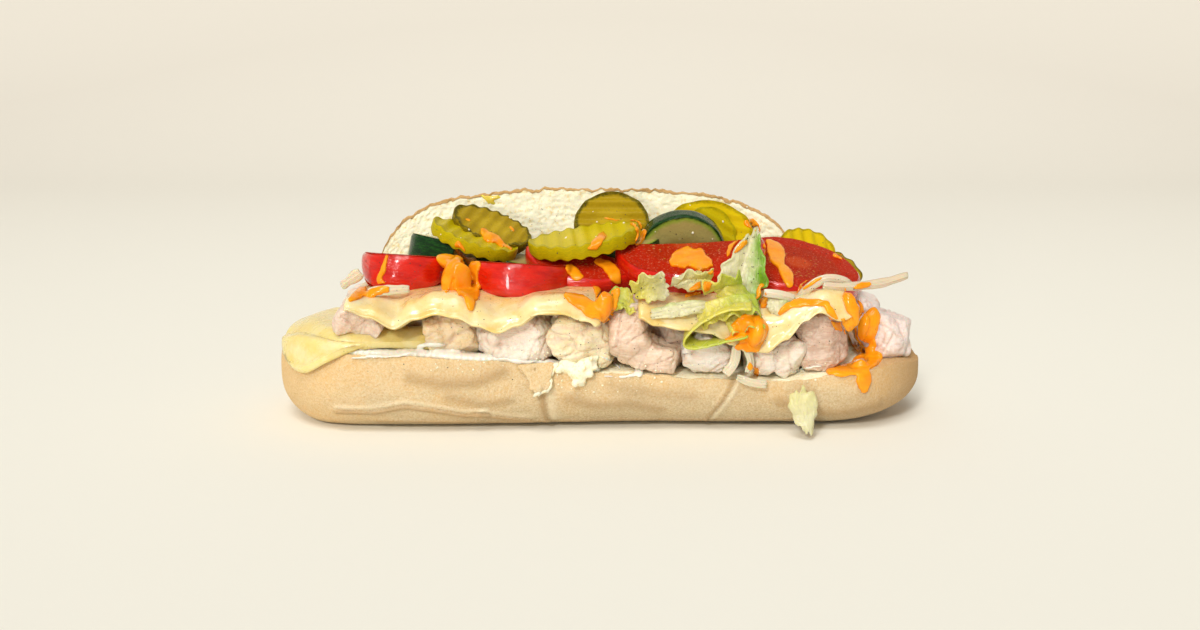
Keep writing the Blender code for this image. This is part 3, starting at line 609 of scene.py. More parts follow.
def sheet(across, along, surface, thickness, lip=0.0):
    """A thin solid over surface(u, v), with u and v from -1 to 1 kept on its vertices and round rims.
    lip is how much thicker it is along the edge at v = -1."""
    spots = {}
    for i in range(across + 1):
        for j in range(along + 1):
            spots[i, j] = surface(2 * i / across - 1, 2 * j / along - 1)
    half_u = sum((spots[i + 1, along // 2] - spots[i, along // 2]).length for i in range(across)) / 2
    half_v = sum((spots[across // 2, j + 1] - spots[across // 2, j]).length for j in range(along)) / 2
    bm = block(across, along, 2)
    u_layer = bm.verts.layers.float.new("u")
    v_layer = bm.verts.layers.float.new("v")
    for vertex in bm.verts:
        u, v, side = vertex.co
        i, j = round((u + 1) / 2 * across), round((v + 1) / 2 * along)
        along_u = spots[min(i + 1, across), j] - spots[max(i - 1, 0), j]
        along_v = spots[i, min(j + 1, along)] - spots[i, max(j - 1, 0)]
        to_rim = min((1 - abs(u)) * half_u, (1 - abs(v)) * half_v) / (thickness / 2)
        rounding = max(0.35, math.sqrt(1 - (1 - min(to_rim, 1.0)) ** 2))
        fuller = 1 + lip * smooth((-0.75 - v) / 0.15)
        outward = along_u.cross(along_v).normalized() * side
        vertex.co = spots[i, j] + outward * thickness / 2 * rounding * fuller
        vertex[u_layer], vertex[v_layer] = u, v
    return bm


def soften(bm, times, factor=0.5):
    every_way = {"use_axis_x": True, "use_axis_y": True, "use_axis_z": True}
    for _ in range(times):
        bmesh.ops.smooth_vert(bm, verts=bm.verts, factor=factor, **every_way)


FINE_VOXEL = 0.4 * MM


def remeshed(bm, voxel=FINE_VOXEL):
    """The same form as one closed skin of even little squares."""
    mesh = bpy.data.meshes.new("rough")
    bm.to_mesh(mesh)
    bm.free()
    rough = bpy.data.objects.new("rough", mesh)
    bpy.context.scene.collection.objects.link(rough)
    skin = rough.modifiers.new("skin", "REMESH")
    skin.mode = "VOXEL"
    skin.voxel_size = voxel
    made = bpy.data.meshes.new_from_object(rough.evaluated_get(bpy.context.evaluated_depsgraph_get()))
    bpy.data.objects.remove(rough)
    bm = bmesh.new()
    bm.from_mesh(made)
    bpy.data.meshes.remove(made)
    return bm


def crust_flap(u, v):
    """A flake of crust that has split off above a crack, and stands away from the side at its tip."""
    s, t = 0.5 + 0.5 * u, 0.5 + 0.5 * v
    top = Vector((-30, -37.0, 26.5)).lerp(Vector((-15, -37.2, 27.5)), s)
    tip = Vector((-24, -41.4, 15.5)).lerp(Vector((-19, -41.0, 17)), s)
    place = tip.lerp(top, t) * MM
    ragged = 1.8 * MM * lumps(Vector((u * 1.7, v * 1.7, 0)), 0.6, 21) * max(abs(u), -v) ** 2
    return place + Vector((ragged, 0.5 * MM * lumps(Vector((u, v, 0)), 0.7, 22), 0.6 * ragged))


FLAP_THICKNESS = 1.5 * MM
bm = sheet(34, 40, crust_flap, FLAP_THICKNESS)
torn_layer = bm.verts.layers.float.new("crumb")
u_layer = bm.verts.layers.float["u"]
v_layer = bm.verts.layers.float["v"]
for vertex in bm.verts:
    vertex[torn_layer] = smooth((max(vertex[u_layer], -vertex[v_layer]) - 0.70) / 0.25)
piece_from("crust_flap", bm, crust_paint)

# Torn crumb that hangs out over the front crust: centre and size in millimetres
TUFT = [
    ((-12, -36.5, 26), (7, 6, 6)),
    ((-8, -38, 24), (8, 6, 7)),
    ((-4.5, -37, 26.5), (7, 6, 6)),
    ((-7.5, -38, 21), (5, 5, 5)),
]


def blob(bm, centre, size, seed=0.0, facing=None, detail=2):
    """Adds a soft drop to a bmesh: a squashed ball with a little unevenness, its height along facing."""
    made = bmesh.ops.create_icosphere(bm, subdivisions=detail, radius=1)["verts"]
    turn = facing.to_track_quat("Z", "Y").to_matrix() if facing else Matrix.Identity(3)
    for vertex in made:
        p = vertex.co * (1 + 0.12 * lumps(vertex.co, 0.8, seed))
        vertex.co = centre + turn @ Vector([0.5 * size[k] * p[k] for k in range(3)])


bm = bmesh.new()
for k, (centre, size) in enumerate(TUFT):
    blob(bm, Vector(centre) * MM, Vector(size) * MM, k, detail=3)
draw = random.Random(5)
for k in range(16):
    centre, size = TUFT[k % 4]
    off = Vector([draw.uniform(-0.5, 0.5) * size[axis] for axis in range(3)])
    blob(bm, (Vector(centre) + off) * MM, Vector([draw.uniform(2.0, 3.2) * MM] * 3), k)
bm = remeshed(bm)
bm.normal_update()
for vertex in bm.verts:
    spot = vertex.co.copy()
    vertex.co += vertex.normal * (0.35 * MM * lumps(spot, 2.6 * MM, 4) + pores(spot, 2.0 * MM, 0.45 * MM))
soften(bm, 2)
crumb = bm.verts.layers.float.new("crumb")
for vertex in bm.verts:
    vertex[crumb] = 1.0
piece_from("crumb_tuft", bm, crust_paint)


# The cheese
# Three thin slices of mild yellow cheese, laid on warm and melted soft. Two drape over the front of the
# chicken to an uneven, rounded edge, and one lies on the cut face and sags over the roll's left end.

CHEESE_THICKNESS = 2.6 * MM
CLEARANCE = 0.45 * MM
LOW_CHEESE_RIM = [
    (-60, -33, 32.5), (-76, -34, 33), (-90, -36.5, 32.5), (-101, -38.5, 28.5), (-110, -35, 23.5),
    (-117, -27, 24), (-121, -18, 28), (-122, -8, 32), (-120, 3, 33.5), (-114, 13, 34),
]
LOW_CHEESE_INSIDE = Vector((-84, 2, 34)) * MM
LOW_CHEESE_RUN = Vector((16, -16, -0.8)) * MM
LOW_CHEESE_CREST = 3.2 * MM
LEFT_CHEESE_EDGE = [
    (-93, 47), (-84, 44), (-75, 40), (-67, 43.5), (-59, 45.5), (-52, 44), (-45, 41),
    (-37, 38.5), (-30, 41), (-22, 45.5), (-14, 45.5), (-6, 43), (1, 41),
]
LEFT_CHEESE_BEND = [
    (-93, 50), (-84, 48), (-75, 44), (-68, 49), (-60, 52), (-53, 51.5), (-46, 48),
    (-38, 44.5), (-31, 46), (-23, 50.5), (-14, 51), (-6, 49), (1, 47),
]
RIGHT_CHEESE_EDGE = [
    (14, 44), (20, 41), (30, 39.5), (40, 38), (48, 34), (54, 31),
    (61, 31), (68, 36), (75, 43), (80, 46), (87, 43), (94, 45),
]
RIGHT_CHEESE_BEND = [
    (14, 48), (24, 46), (34, 45), (44, 44), (54, 44), (64, 45), (74, 49), (82, 52.5), (88, 52), (94, 48)
]


def roll_top(x, y):
    """The height of the lower half at a place: its cut face, or the crust outside that."""
    width, up, _, _, _ = base_size_at(x)
    out = min(abs(y) / max(width, 1e-6), 1.0)
    crust = BELLY_HEIGHT + up * (1 - out ** SECTION_POWER) ** (1 / SECTION_POWER)
    return min(cut_face_height(x, y) + 1.5 * MM, crust) if out < 1 else 0.0


def low_cheese(u, v):
    """The slice on the cut face at the left end: its outer edge sags over the crust of the tip."""
    rim = curve_point(LOW_CHEESE_RIM, 0.5 + 0.5 * v)
    inside = LOW_CHEESE_INSIDE + LOW_CHEESE_RUN * (0.5 - 0.5 * v)
    across = 0.5 + 0.5 * u
    place = inside.lerp(rim, 1 - (1 - across) ** 1.25)
    crest = inside.z + LOW_CHEESE_CREST
    place.z = mix(mix(inside.z, crest, smooth(across / 0.5)), rim.z, smooth((across - 0.62) / 0.38))
    place.z = max(place.z, roll_top(place.x, place.y) + CHEESE_THICKNESS / 2 + CLEARANCE)
    place.z += 0.25 * MM * lumps(place, 9 * MM, 31)
    return place


def draped(first, last, edge, bend, front, back_height):
    """A slice that lies on the chicken, bends at its front and hangs to an uneven edge."""

    def surface(u, v):
        x = mix(first, last, 0.5 + 0.5 * u) * MM
        low, high = run_through(edge, x) / MM, run_through(bend, x) / MM
        out = front + 1.2 * lumps(Vector((x, 0, 0)), 16 * MM, 5)
        path = [
            (x / MM, out - 1.0, low),
            (x / MM, out, mix(low, high, 0.62)),
            (x / MM, out + 3.5, high),
            (x / MM, front + 12, mix(high, back_height, 0.6)),
            (x / MM, front + 26, back_height),
            (x / MM, front + 40, back_height - 0.5),
        ]
        place = curve_point(path, (v + 1) / 2)
        place.x -= 3.5 * MM * smooth((u - 0.9) / 0.1) * (0.4 + lumps(Vector((0, v * 1.3, first)), 0.6, 3))
        place.y += 0.35 * MM * lumps(place, 7 * MM, 33) + 0.15 * MM * lumps(place, 3 * MM, 34)
        return place

    return surface


# Each kind of slice's deeper, middle and paler tone
HUNG_TONES = ((0.840, 0.550, 0.150), (0.900, 0.670, 0.300), (0.940, 0.780, 0.450))
LAID_TONES = ((0.800, 0.580, 0.160), (0.840, 0.650, 0.230), (0.890, 0.740, 0.380))


def cheese_paint(name, deep, pale, white):
    made, tree, shader = paint(
        name, Roughness=0.3, Coat_Weight=0.4, Coat_Roughness=0.10, Subsurface_Weight=0.45,
        Subsurface_Scale=0.006, Subsurface_Radius=(1.0, 0.75, 0.35),
    )
    place = object_place(tree)
    body = ramp(tree, clouds(tree, place, 90, 4), [(0.32, deep), (0.48, pale), (0.68, white)])
    tree.links.new(body, shader.inputs["Base Color"])
    oily = stretch(tree, clouds(tree, place, 220, 4), 0.35, 0.65, 0.20, 0.40)
    tree.links.new(oily, shader.inputs["Roughness"])
    relief(tree, shader, clouds(tree, place, 300, 3), 0.0006, 0.3)
    return made


hung_cheese = cheese_paint("hung_cheese", *HUNG_TONES)
laid_cheese = cheese_paint("laid_cheese", *LAID_TONES)
left_cheese = draped(-93, 1, LEFT_CHEESE_EDGE, LEFT_CHEESE_BEND, -38, 50)
right_cheese = draped(14, 94, RIGHT_CHEESE_EDGE, RIGHT_CHEESE_BEND, -37, 49.5)
# Name, faces each way, form, how much thicker the lip is, and finish
CHEESE = [
    ("cheese_low", 60, 110, low_cheese, 0.35, laid_cheese),
    ("cheese_left", 170, 60, left_cheese, 0.85, hung_cheese),
    ("cheese_right", 150, 60, right_cheese, 0.7, hung_cheese),
]
dressed = []
for name, across, along, surface, lip, material in CHEESE:
    bm = sheet(across, along, surface, CHEESE_THICKNESS, lip)
    dressed.append(piece_from(f"{name}_melt", bm, material, [name]))


# The lettuce
# Torn leaves of iceberg: crisp, wavy and thin, nearly white at the rib and bright green at the ruffled
# edge, with fine branching veins. One leaf stands up at the front and one is folded back on itself.

LEAF_THICKNESS = 0.9 * MM
LEAF_ROUNDING = 0.45
LEAVES = {
    # corners: low left, low right, top left, top right; then curl, ripple and seed
    "lettuce_tall": (((38, -33, 50), (62, -34, 46), (54.5, -25, 75), (60, -28, 74.5)), -3, 1.9, 1),
    "lettuce_rib": (((15, -38, 42.5), (40, -38.5, 45.5), (16, -36, 46.5), (42, -35, 51.5)), 2.5, 0.8, 2),
    "lettuce_yellow": (((12, -33.5, 49.5), (25, -34.5, 49), (14, -29, 59), (25.5, -28, 57.5)), 1.5, 1.3, 3),
    "lettuce_pale": (((27, -27, 52), (40, -29, 51.5), (28, -22, 57), (41, -24, 59)), 1.5, 1.1, 4),
    "lettuce_frill": (((44, -37, 48.5), (59, -38, 45), (41, -31, 56), (56, -32, 54)), 2.5, 1.8, 5),
    "lettuce_small": (((62, -36, 43), (72, -34, 47), (60, -31, 51), (72, -30, 51.5)), 2.0, 1.0, 6),
    "lettuce_left": (((2, -30, 47), (12, -32, 45), (3, -26, 53), (13, -28, 53)), 1.5, 1.2, 7),
    "lettuce_flake": (((74, -46, 1.6), (78, -45, 1.2), (66.5, -41, 16.5), (80, -41, 20)), 1.5, 0.8, 8),
}


def leaf(corners, curl, ripple, seed):
    """A wavy leaf between four corners in millimetres, curling out by curl and rippled at its edges."""
    low_left, low_right, top_left, top_right = (Vector(c) * MM for c in corners)
    facing = (low_right - low_left).cross(top_left - low_left).normalized()
    upward = (top_left - low_left).normalized()
    centre = (low_left + low_right + top_left + top_right) / 4

    def surface(u, v):
        s = 0.5 + 0.5 * u * math.sqrt(1 - LEAF_ROUNDING * v * v)
        t = 0.5 + 0.5 * v * math.sqrt(1 - LEAF_ROUNDING * u * u)
        place = low_left.lerp(low_right, s).lerp(top_left.lerp(top_right, s), t)
        rim = max(abs(u), abs(v))
        bow = curl * MM * (1 - u * u)
        wave = ripple * MM * lumps(Vector((u * 1.3, v * 1.7, seed)), 0.8, seed) * (0.4 + 0.6 * abs(u))
        around = Vector((u, v, 0)).normalized() * 1.4 + Vector((0, 0, seed))
        lobed = 1 + (0.26 * lumps(around, 0.45, seed + 7) + 0.08 * lumps(around, 0.2, seed + 8)) * rim ** 3
        place = centre + (place - centre) * lobed
        ruffle = 1.5 * MM * lumps(place, 3.6 * MM, seed + 9) * rim ** 2
        ruffle += 0.35 * MM * lumps(place, 2.2 * MM, seed + 5)
        fringe = ripple * MM * 0.4 * lumps(Vector((u * 3, v * 3, 0)), 1.2, seed + 3) * abs(u) ** 3
        return place + facing * (bow + wave + ruffle) + upward * fringe

    return surface


# A leaf folded back on itself, with the open ends of the fold towards +X: x and z down its middle
CURL_FOLD = [(55, 50), (46, 48.5), (38, 44.5), (32, 39.5), (31.5, 36), (36, 34.8), (45, 36.5), (54, 39.5)]


def lettuce_curl(u, v):
    place = curve_point([(x, -37.5, z) for x, z in CURL_FOLD], 0.5 + 0.5 * u)
    sway = Vector((0.8 * v, 6 * v + 1.2 * math.sin(3 * u + 1), 1.2 * v + 0.6 * math.sin(5 * u + 2 * v)))
    ruffle = 0.5 * lumps(place + Vector((0, v * 5 * MM, 0)), 3.0 * MM, 14) * (0.4 + 0.6 * abs(v))
    return place + (sway + Vector((0.3 * ruffle, 0, ruffle))) * MM


LEAF_WHITE = (0.700, 0.660, 0.400)
LEAF_YELLOW = (0.690, 0.610, 0.090)
LEAF_GREEN = (0.340, 0.460, 0.025)
LEAF_BRIGHT = (0.190, 0.400, 0.020)
# The two ends of each leaf's colour, which way it runs, and where along it the change lies
LEAF_TONES = {
    "lettuce_tall": (LEAF_WHITE, LEAF_BRIGHT, "u", -0.1, 0.75),
    "lettuce_rib": (LEAF_WHITE, LEAF_GREEN, "v", 0.4, 1.6),
    "lettuce_yellow": (LEAF_YELLOW, LEAF_WHITE, "u", -0.6, 0.9),
    "lettuce_pale": (LEAF_WHITE, LEAF_YELLOW, "u", -0.8, 1.2),
    "lettuce_frill": (LEAF_YELLOW, LEAF_GREEN, "u", -0.4, 1.0),
    "lettuce_small": (LEAF_WHITE, LEAF_BRIGHT, "u", -0.3, 1.1),
    "lettuce_left": (LEAF_GREEN, LEAF_YELLOW, "u", -0.7, 0.9),
    "lettuce_flake": (LEAF_WHITE, LEAF_YELLOW, "v", -0.2, 3.0),
    "lettuce_curl": (LEAF_YELLOW, LEAF_GREEN, "u", -0.5, 1.3),
}


def leaf_paint(name):
    rib, edge, axis, start, end = LEAF_TONES[name]
    made, tree, shader = paint(
        name + "_leaf", Roughness=0.34, Subsurface_Weight=0.35, Subsurface_Scale=0.003,
        Subsurface_Radius=(0.8, 1.0, 0.25),
    )
    place = object_place(tree)
    wander = strayed(tree, share_of(tree, axis), place, 160, 4, 0.55)
    body = ramp(tree, stretch(tree, wander, start, end), [(0.0, rib), (1.0, edge)])
    along_it = node_of(tree, "ShaderNodeCombineXYZ")
    tree.links.new(product(tree, share_of(tree, "u"), 3.2), along_it.inputs["X"])
    tree.links.new(product(tree, share_of(tree, "v"), 0.8), along_it.inputs["Y"])
    vein = node_of(tree, "ShaderNodeTexVoronoi", feature="DISTANCE_TO_EDGE", Scale=2.2)
    tree.links.new(along_it.outputs["Vector"], vein.inputs["Vector"])
    line = stretch(tree, vein.outputs["Distance"], 0.0, 0.07, 0.4, 0.0)
    tree.links.new(blended(tree, line, body, LEAF_WHITE), shader.inputs["Base Color"])
    height = calc(tree, "ADD", product(tree, line, 1.2), clouds(tree, place, 600, 3))
    relief(tree, shader, height, 0.0004, 0.6)
    return made


def ruffled(points, reach, waves, depth, seed):
    """The frilled edge of a leaf: it runs through points in millimetres, reaches out along reach, and is
    gathered into waves that deepen towards its free edge."""
    outward = Vector(reach) * MM

    def surface(u, v):
        t, out = 0.5 + 0.5 * u, 0.5 + 0.5 * v
        ahead = (curve_point(points, t + 0.01) - curve_point(points, t - 0.01)).normalized()
        across = ahead.cross(outward).normalized()
        uneven = lumps(Vector((3 * t, out, seed)), 0.5, seed)
        fold = math.sin(2 * math.pi * waves * t + 2.0 * uneven + seed) * depth * MM * out ** 1.3
        ragged = 1 + 0.22 * lumps(Vector((9 * t, 0, seed)), 0.8, seed + 4) * out ** 2
        place = curve_point(points, t) + outward * out * ragged
        crimp = across * 0.25 * MM * lumps(place, 2.0 * MM, seed)
        return place + across * fold + ahead * 0.8 * MM * uneven * out + crimp

    return surface


# The gathered edges that show with each leaf: where they start, how they reach out, waves and their depth
FRILLS = {
    "lettuce_frill": [
        ([(34, -36, 48), (41, -38, 51), (49, -38, 53), (56, -37, 53)], (3.0, -4.5, -7.0), 3.2, 1.9, 1),
        ([(38, -35, 52), (45, -35, 55), (52, -35, 56.5)], (-1.5, -4.5, 4.5), 2.4, 1.6, 2),
        ([(45, -38, 44), (51, -39, 46), (57, -38.5, 46)], (2.5, -4.0, -5.0), 2.2, 1.7, 3),
    ],
    "lettuce_yellow": [([(12, -33, 52), (17, -34, 56), (24, -33, 56)], (-1.0, -4.0, 4.0), 2.3, 1.6, 4)],
    "lettuce_pale": [([(26, -29, 54), (33, -30, 57), (41, -30, 57)], (1.0, -3.5, 3.5), 2.2, 1.4, 5)],
    "lettuce_left": [([(3, -32, 50), (8, -33, 50), (12, -33, 48)], (0.5, -3.0, -3.0), 1.8, 1.3, 6)],
}


def take_in(bm, other):
    """Adds a second bmesh to a bmesh, and frees the second."""
    part = bpy.data.meshes.new("part")
    other.to_mesh(part)
    other.free()
    bm.from_mesh(part)
    bpy.data.meshes.remove(part)


for name, (corners, curl, ripple, seed) in LEAVES.items():
    size = 60 if name == "lettuce_tall" else 40
    bm = sheet(size, size, leaf(corners, curl, ripple, seed), LEAF_THICKNESS)
    for frill in FRILLS.get(name, []):
        take_in(bm, sheet(64, 16, ruffled(*frill), 0.7 * LEAF_THICKNESS))
    dressed.append(piece_from(f"{name}_leaf", bm, leaf_paint(name), [name]))
bm = sheet(96, 30, lettuce_curl, LEAF_THICKNESS)
dressed.append(piece_from("lettuce_curl_leaf", bm, leaf_paint("lettuce_curl"), ["lettuce_curl"]))


# The onion
# Cooked strips of white onion, cut across the bulb: limp, glassy and ribbed along their length, with a
# browner outer skin on the long one.

ONION_THICKNESS = 1.25 * MM
ONION_FACING = Vector((0, -1, 0.3)).normalized()
# The places that each strip runs through in millimetres, its width, and its twist in degrees
ONIONS = {
    "onion_long": (
        [(82, -30, 54.5), (90, -29, 54), (98, -27, 54.2), (106, -25, 55), (115, -23, 57.5)], 3.4, 30
    ),
    "onion_arch": ([(74, -26, 49), (78, -28, 54), (84, -28, 57), (90, -27, 56), (94, -26, 53.5)], 3.6, 0),
    "onion_short": ([(60, -33, 52.5), (66, -34, 52), (71, -33, 50.5)], 3.4, 10),
    "onion_left": ([(-98, -16, 52), (-94, -19, 55), (-90, -20, 58)], 4.5, 20),
    "onion_left_low": ([(-86, -27, 51.5), (-79, -28, 52.5), (-71, -26, 52.5)], 4.0, 0),
    "onion_drop": ([(50, -38, 34), (49, -39.5, 28), (46, -39.5, 23.5)], 4.0, 10),
    "onion_drop_right": ([(53, -38, 34.5), (55, -39, 28), (54, -39, 24)], 3.0, -10),
    "onion_drop_low": ([(50, -40, 22.5), (55, -40, 20.5), (61, -39.5, 19.5)], 3.0, 0),
}
ONION_WHITE = (0.800, 0.690, 0.500)
ONION_BROWN = (0.560, 0.340, 0.170)
BROWNED_ONIONS = {"onion_long": 0.5, "onion_arch": 0.3}


def strip(points, width, twist):
    """A band that runs through points in millimetres, with its flat side to the front and up."""
    def surface(u, v):
        t = 0.5 + 0.5 * u
        ahead = (curve_point(points, t + 0.01) - curve_point(points, t - 0.01)).normalized()
        side = ahead.cross(ONION_FACING).normalized()
        side = Matrix.Rotation(math.radians(twist) * t, 3, ahead) @ side
        place = curve_point(points, t)
        ragged = 0.85 + 0.30 * lumps(place, 5 * MM, width) - 0.35 * abs(u) ** 5
        bowed = 0.45 * MM * (1 - v * v) + 0.12 * MM * math.cos(9 * v)
        return place + side * v * width / 2 * MM * ragged + side.cross(ahead) * bowed

    return surface


for name, (points, width, twist) in ONIONS.items():
    brown = BROWNED_ONIONS.get(name, 0.1)
    onion_paint, tree, shader = paint(
        f"{name}_flesh", Roughness=0.25, Coat_Weight=0.3, Coat_Roughness=0.1, Subsurface_Weight=0.5,
        Subsurface_Scale=0.004,
    )
    place = object_place(tree)
    ribs = node_of(tree, "ShaderNodeTexWave", Scale=1.6, Distortion=2.5)
    along_it = node_of(tree, "ShaderNodeCombineXYZ")
    tree.links.new(share_of(tree, "v"), along_it.inputs["X"])
    tree.links.new(product(tree, share_of(tree, "u"), 0.1), along_it.inputs["Y"])
    tree.links.new(along_it.outputs["Vector"], ribs.inputs["Vector"])
    dark = product(tree, ribs.outputs["Fac"], brown * 0.5)
    off_middle = calc(tree, "ABSOLUTE", share_of(tree, "v"))
    edge = product(tree, stretch(tree, off_middle, 0.6, 1.0), brown)
    tone = blended(tree, dark, ONION_WHITE, ONION_BROWN)
    tone = blended(tree, edge, tone, ONION_BROWN)
    tree.links.new(tone, shader.inputs["Base Color"])
    relief(tree, shader, calc(tree, "ADD", ribs.outputs["Fac"], clouds(tree, place, 500)), 0.0003, 0.5)
    bm = sheet(48, 10, strip(points, width, twist), ONION_THICKNESS)
    dressed.append(piece_from(f"{name}_strip", bm, onion_paint, [name]))


# The pickles
# Chips of sour gherkin, cut with a crinkled blade so that both faces are ridged: yellow to olive,
# glassy flesh with a paler seed heart, and a thin dull green skin. They are wet with brine.

CRINKLE_PITCH = 5.2 * MM
CRINKLE_DEPTH = 0.42 * MM
# Each slice's half length, half depth and thickness, and then its place: see turned
PICKLES = {
    "pickle_1": ((18, 12, 4.6), ((-50, 7, 66), 3, -6, 20)),
    "pickle_2": ((17, 12, 4.2), ((-44, 18, 69), 18, -10, 22)),
    "pickle_3": ((22, 14, 5.2), ((-6, 3, 66.5), 7, 4, -9)),
    "pickle_4": ((14.5, 15.5, 4.0), ((5, 25, 69.5), 62, 0, 0, 90)),
    "pickle_5": ((13, 18, 4.0), ((46, 29, 67), 56, 0, 10, 90)),
    "pickle_6": ((12, 12, 4.0), ((45, 22, 66), 60, 14, 30, 90)),
    "pickle_7": ((12, 11, 4.0), ((85, 23, 59.5), 40, 10, 8)),
    "pickle_8": ((9, 8, 4.6), ((99.5, 22, 51.5), 30, 0, 34)),
}


def turned(centre, tilt, yaw, roll, spin=0):
    """A slice's place: lying flat and face up, spun, leant up towards the front, tipped and turned."""
    turn = Euler((math.radians(tilt), math.radians(roll), math.radians(yaw))).to_matrix().to_4x4()
    return Matrix.Translation(Vector(centre) * MM) @ turn @ Matrix.Rotation(math.radians(spin), 4, "Z")


def slice_of(
    size, place, across, through, rim, bend=0.0, wave=0.0, half=False, bulge=0.0, seed=0, dents=0.0, tuck=0.0
):
    """A round slice with softened rims in its place. Its unit place is kept on its vertices, and so is how
    far each belongs to the outer skin. A half slice is cut straight through the middle. tuck is how much of
    the underside rises towards both ends."""
    radius, depth, thickness = (s * MM for s in size)
    ridges = 2 * round(2 * radius / CRINKLE_PITCH)
    bm = block(across, across, through)
    own = bm.verts.layers.float_vector.new("own")
    skin = bm.verts.layers.float.new("skin")
    for vertex in bm.verts:
        u, v, z = vertex.co
        on_wall = max(abs(u), abs(v)) > 0.999
        z = math.sin(z * math.pi / 2)
        x, y = u * math.sqrt(1 - v * v / 2), v * math.sqrt(1 - u * u / 2)
        vertex[own] = Vector((x, y, z))
        vertex[skin] = 1.0 if on_wall else 0.0
        swell = 1 + bulge * (1 - z * z)
        uneven = 1 + 0.03 * lumps(Vector((x, y * swell, 0)), 0.7, seed)
        ridge = wave * math.cos(math.pi * (x + 1) / 2 * ridges)
        turned_in = 1 - (rim * MM / radius) * smooth((abs(z) - 0.8) / 0.2) if on_wall else 1.0
        place_x = x * radius * swell * uneven * turned_in
        place_y = y * depth * swell * uneven * turned_in
        place_z = z * thickness / 2 + ridge + bend * MM * ((place_x / radius) ** 2 - 0.4)
        place_z += tuck * thickness * 0.5 * (1 - z) * abs(x) ** 4
        if dents:
            spot = Vector((place_x, place_y, place_z))
            inward = Vector((x, y, 0)) * dents * MM * lumps(spot, 6 * MM, seed + 2)
            place_x, place_y = place_x + inward.x, place_y + inward.y
            place_z += dents * MM * 0.5 * lumps(spot, 4 * MM, seed + 4)
        vertex.co = (place_x, place_y, place_z)
    if half:
        everything = bm.verts[:] + bm.edges[:] + bm.faces[:]
        bmesh.ops.bisect_plane(
            bm, geom=everything, plane_co=(0, 0, 0), plane_no=(0, 1, 0), clear_outer=True
        )
        bmesh.ops.holes_fill(bm, edges=[edge for edge in bm.edges if edge.is_boundary], sides=0)
        bmesh.ops.triangulate(bm, faces=[face for face in bm.faces if len(face.verts) > 4])
    for face in bm.faces:
        face.material_index = int(all(vertex[skin] > 0.99 for vertex in face.verts))
    bm.transform(turned(*place))
    return bm


def slice_ways(tree):
    """What a slice's material needs: its own unit place, and its distance from the middle."""
    own = node_of(tree, "ShaderNodeAttribute", attribute_name="own").outputs["Vector"]
    flat = node_of(tree, "ShaderNodeVectorMath", operation="MULTIPLY")
    flat.inputs[1].default_value = (1, 1, 0)
    tree.links.new(own, flat.inputs[0])
    reach = node_of(tree, "ShaderNodeVectorMath", operation="LENGTH")
    tree.links.new(flat.outputs["Vector"], reach.inputs[0])
    return own, reach.outputs["Value"]


def seeds_in(tree, own, scale, inner, outer, most, where):
    """Seeds scattered over a cut face: most in each seed, 0 between them, and only where they grow."""
    seeds = node_of(tree, "ShaderNodeTexVoronoi", feature="F1", Scale=scale)
    tree.links.new(own, seeds.inputs["Vector"])
    return product(tree, stretch(tree, seeds.outputs["Distance"], inner, outer, most, 0.0), where)


# Heart, flesh and skin
SOUR_YELLOW = ((0.720, 0.500, 0.006), (0.640, 0.460, 0.003), (0.360, 0.270, 0.003))
SOUR_BRIGHT = ((0.660, 0.500, 0.006), (0.590, 0.460, 0.003), (0.420, 0.350, 0.003))
SOUR_OLIVE = ((0.500, 0.340, 0.012), (0.380, 0.250, 0.005), (0.080, 0.070, 0.005))
PICKLE_TONES = {
    "pickle_1": SOUR_BRIGHT, "pickle_2": SOUR_OLIVE, "pickle_3": SOUR_BRIGHT, "pickle_4": SOUR_OLIVE,
    "pickle_5": SOUR_YELLOW, "pickle_6": SOUR_BRIGHT, "pickle_7": SOUR_YELLOW, "pickle_8": SOUR_OLIVE,
}
for name, (size, spot) in PICKLES.items():
    heart, flesh, peel = PICKLE_TONES[name]
    pickle_paint, tree, shader = paint(
        f"{name}_sour", Roughness=0.26, Specular_IOR_Level=0.04, Coat_Weight=0.05,
        Coat_Roughness=0.08, Subsurface_Weight=0.2, Subsurface_Scale=0.003,
        Subsurface_Radius=(1.0, 0.8, 0.05),
    )
    own, reach = slice_ways(tree)
    wander = strayed(tree, reach, own, 5, 4, 0.10)
    cut = ramp(tree, wander, [(0.30, heart), (0.55, flesh), (0.86, flesh), (0.93, peel)])
    seed_mask = seeds_in(tree, own, 9.0, 0.16, 0.26, 1.0, stretch(tree, reach, 0.55, 0.4))
    cut = blended(tree, product(tree, seed_mask, 0.5), cut, tuple(0.75 * c for c in flesh))
    streaks = product(tree, stretch(tree, clouds(tree, own, 14, 5, 0.7), 0.4, 0.7), 0.35)
    cut = blended(tree, streaks, cut, tuple(1.12 * c for c in heart))
    mottled = blended(tree, stretch(tree, clouds(tree, own, 10, 3), 0.4, 0.65), peel, flesh)
    tone = blended(tree, share_of(tree, "skin"), cut, mottled)
    tree.links.new(tone, shader.inputs["Base Color"])
    relief(tree, shader, clouds(tree, own, 22, 4), 0.0006, 0.35)
    bm = slice_of(size, spot, 56, 4, 0.3, bend=1.0, wave=CRINKLE_DEPTH)
    made = piece_from(f"{name}_chip", bm, pickle_paint, [name], sharp=60, second=pickle_paint)
    dressed.append(made)


# The cucumber
# Slices of fresh cucumber, some of them halved: dark green ribbed skin, a pale green line under it, and
# wet, watery flesh with a softer seed heart.

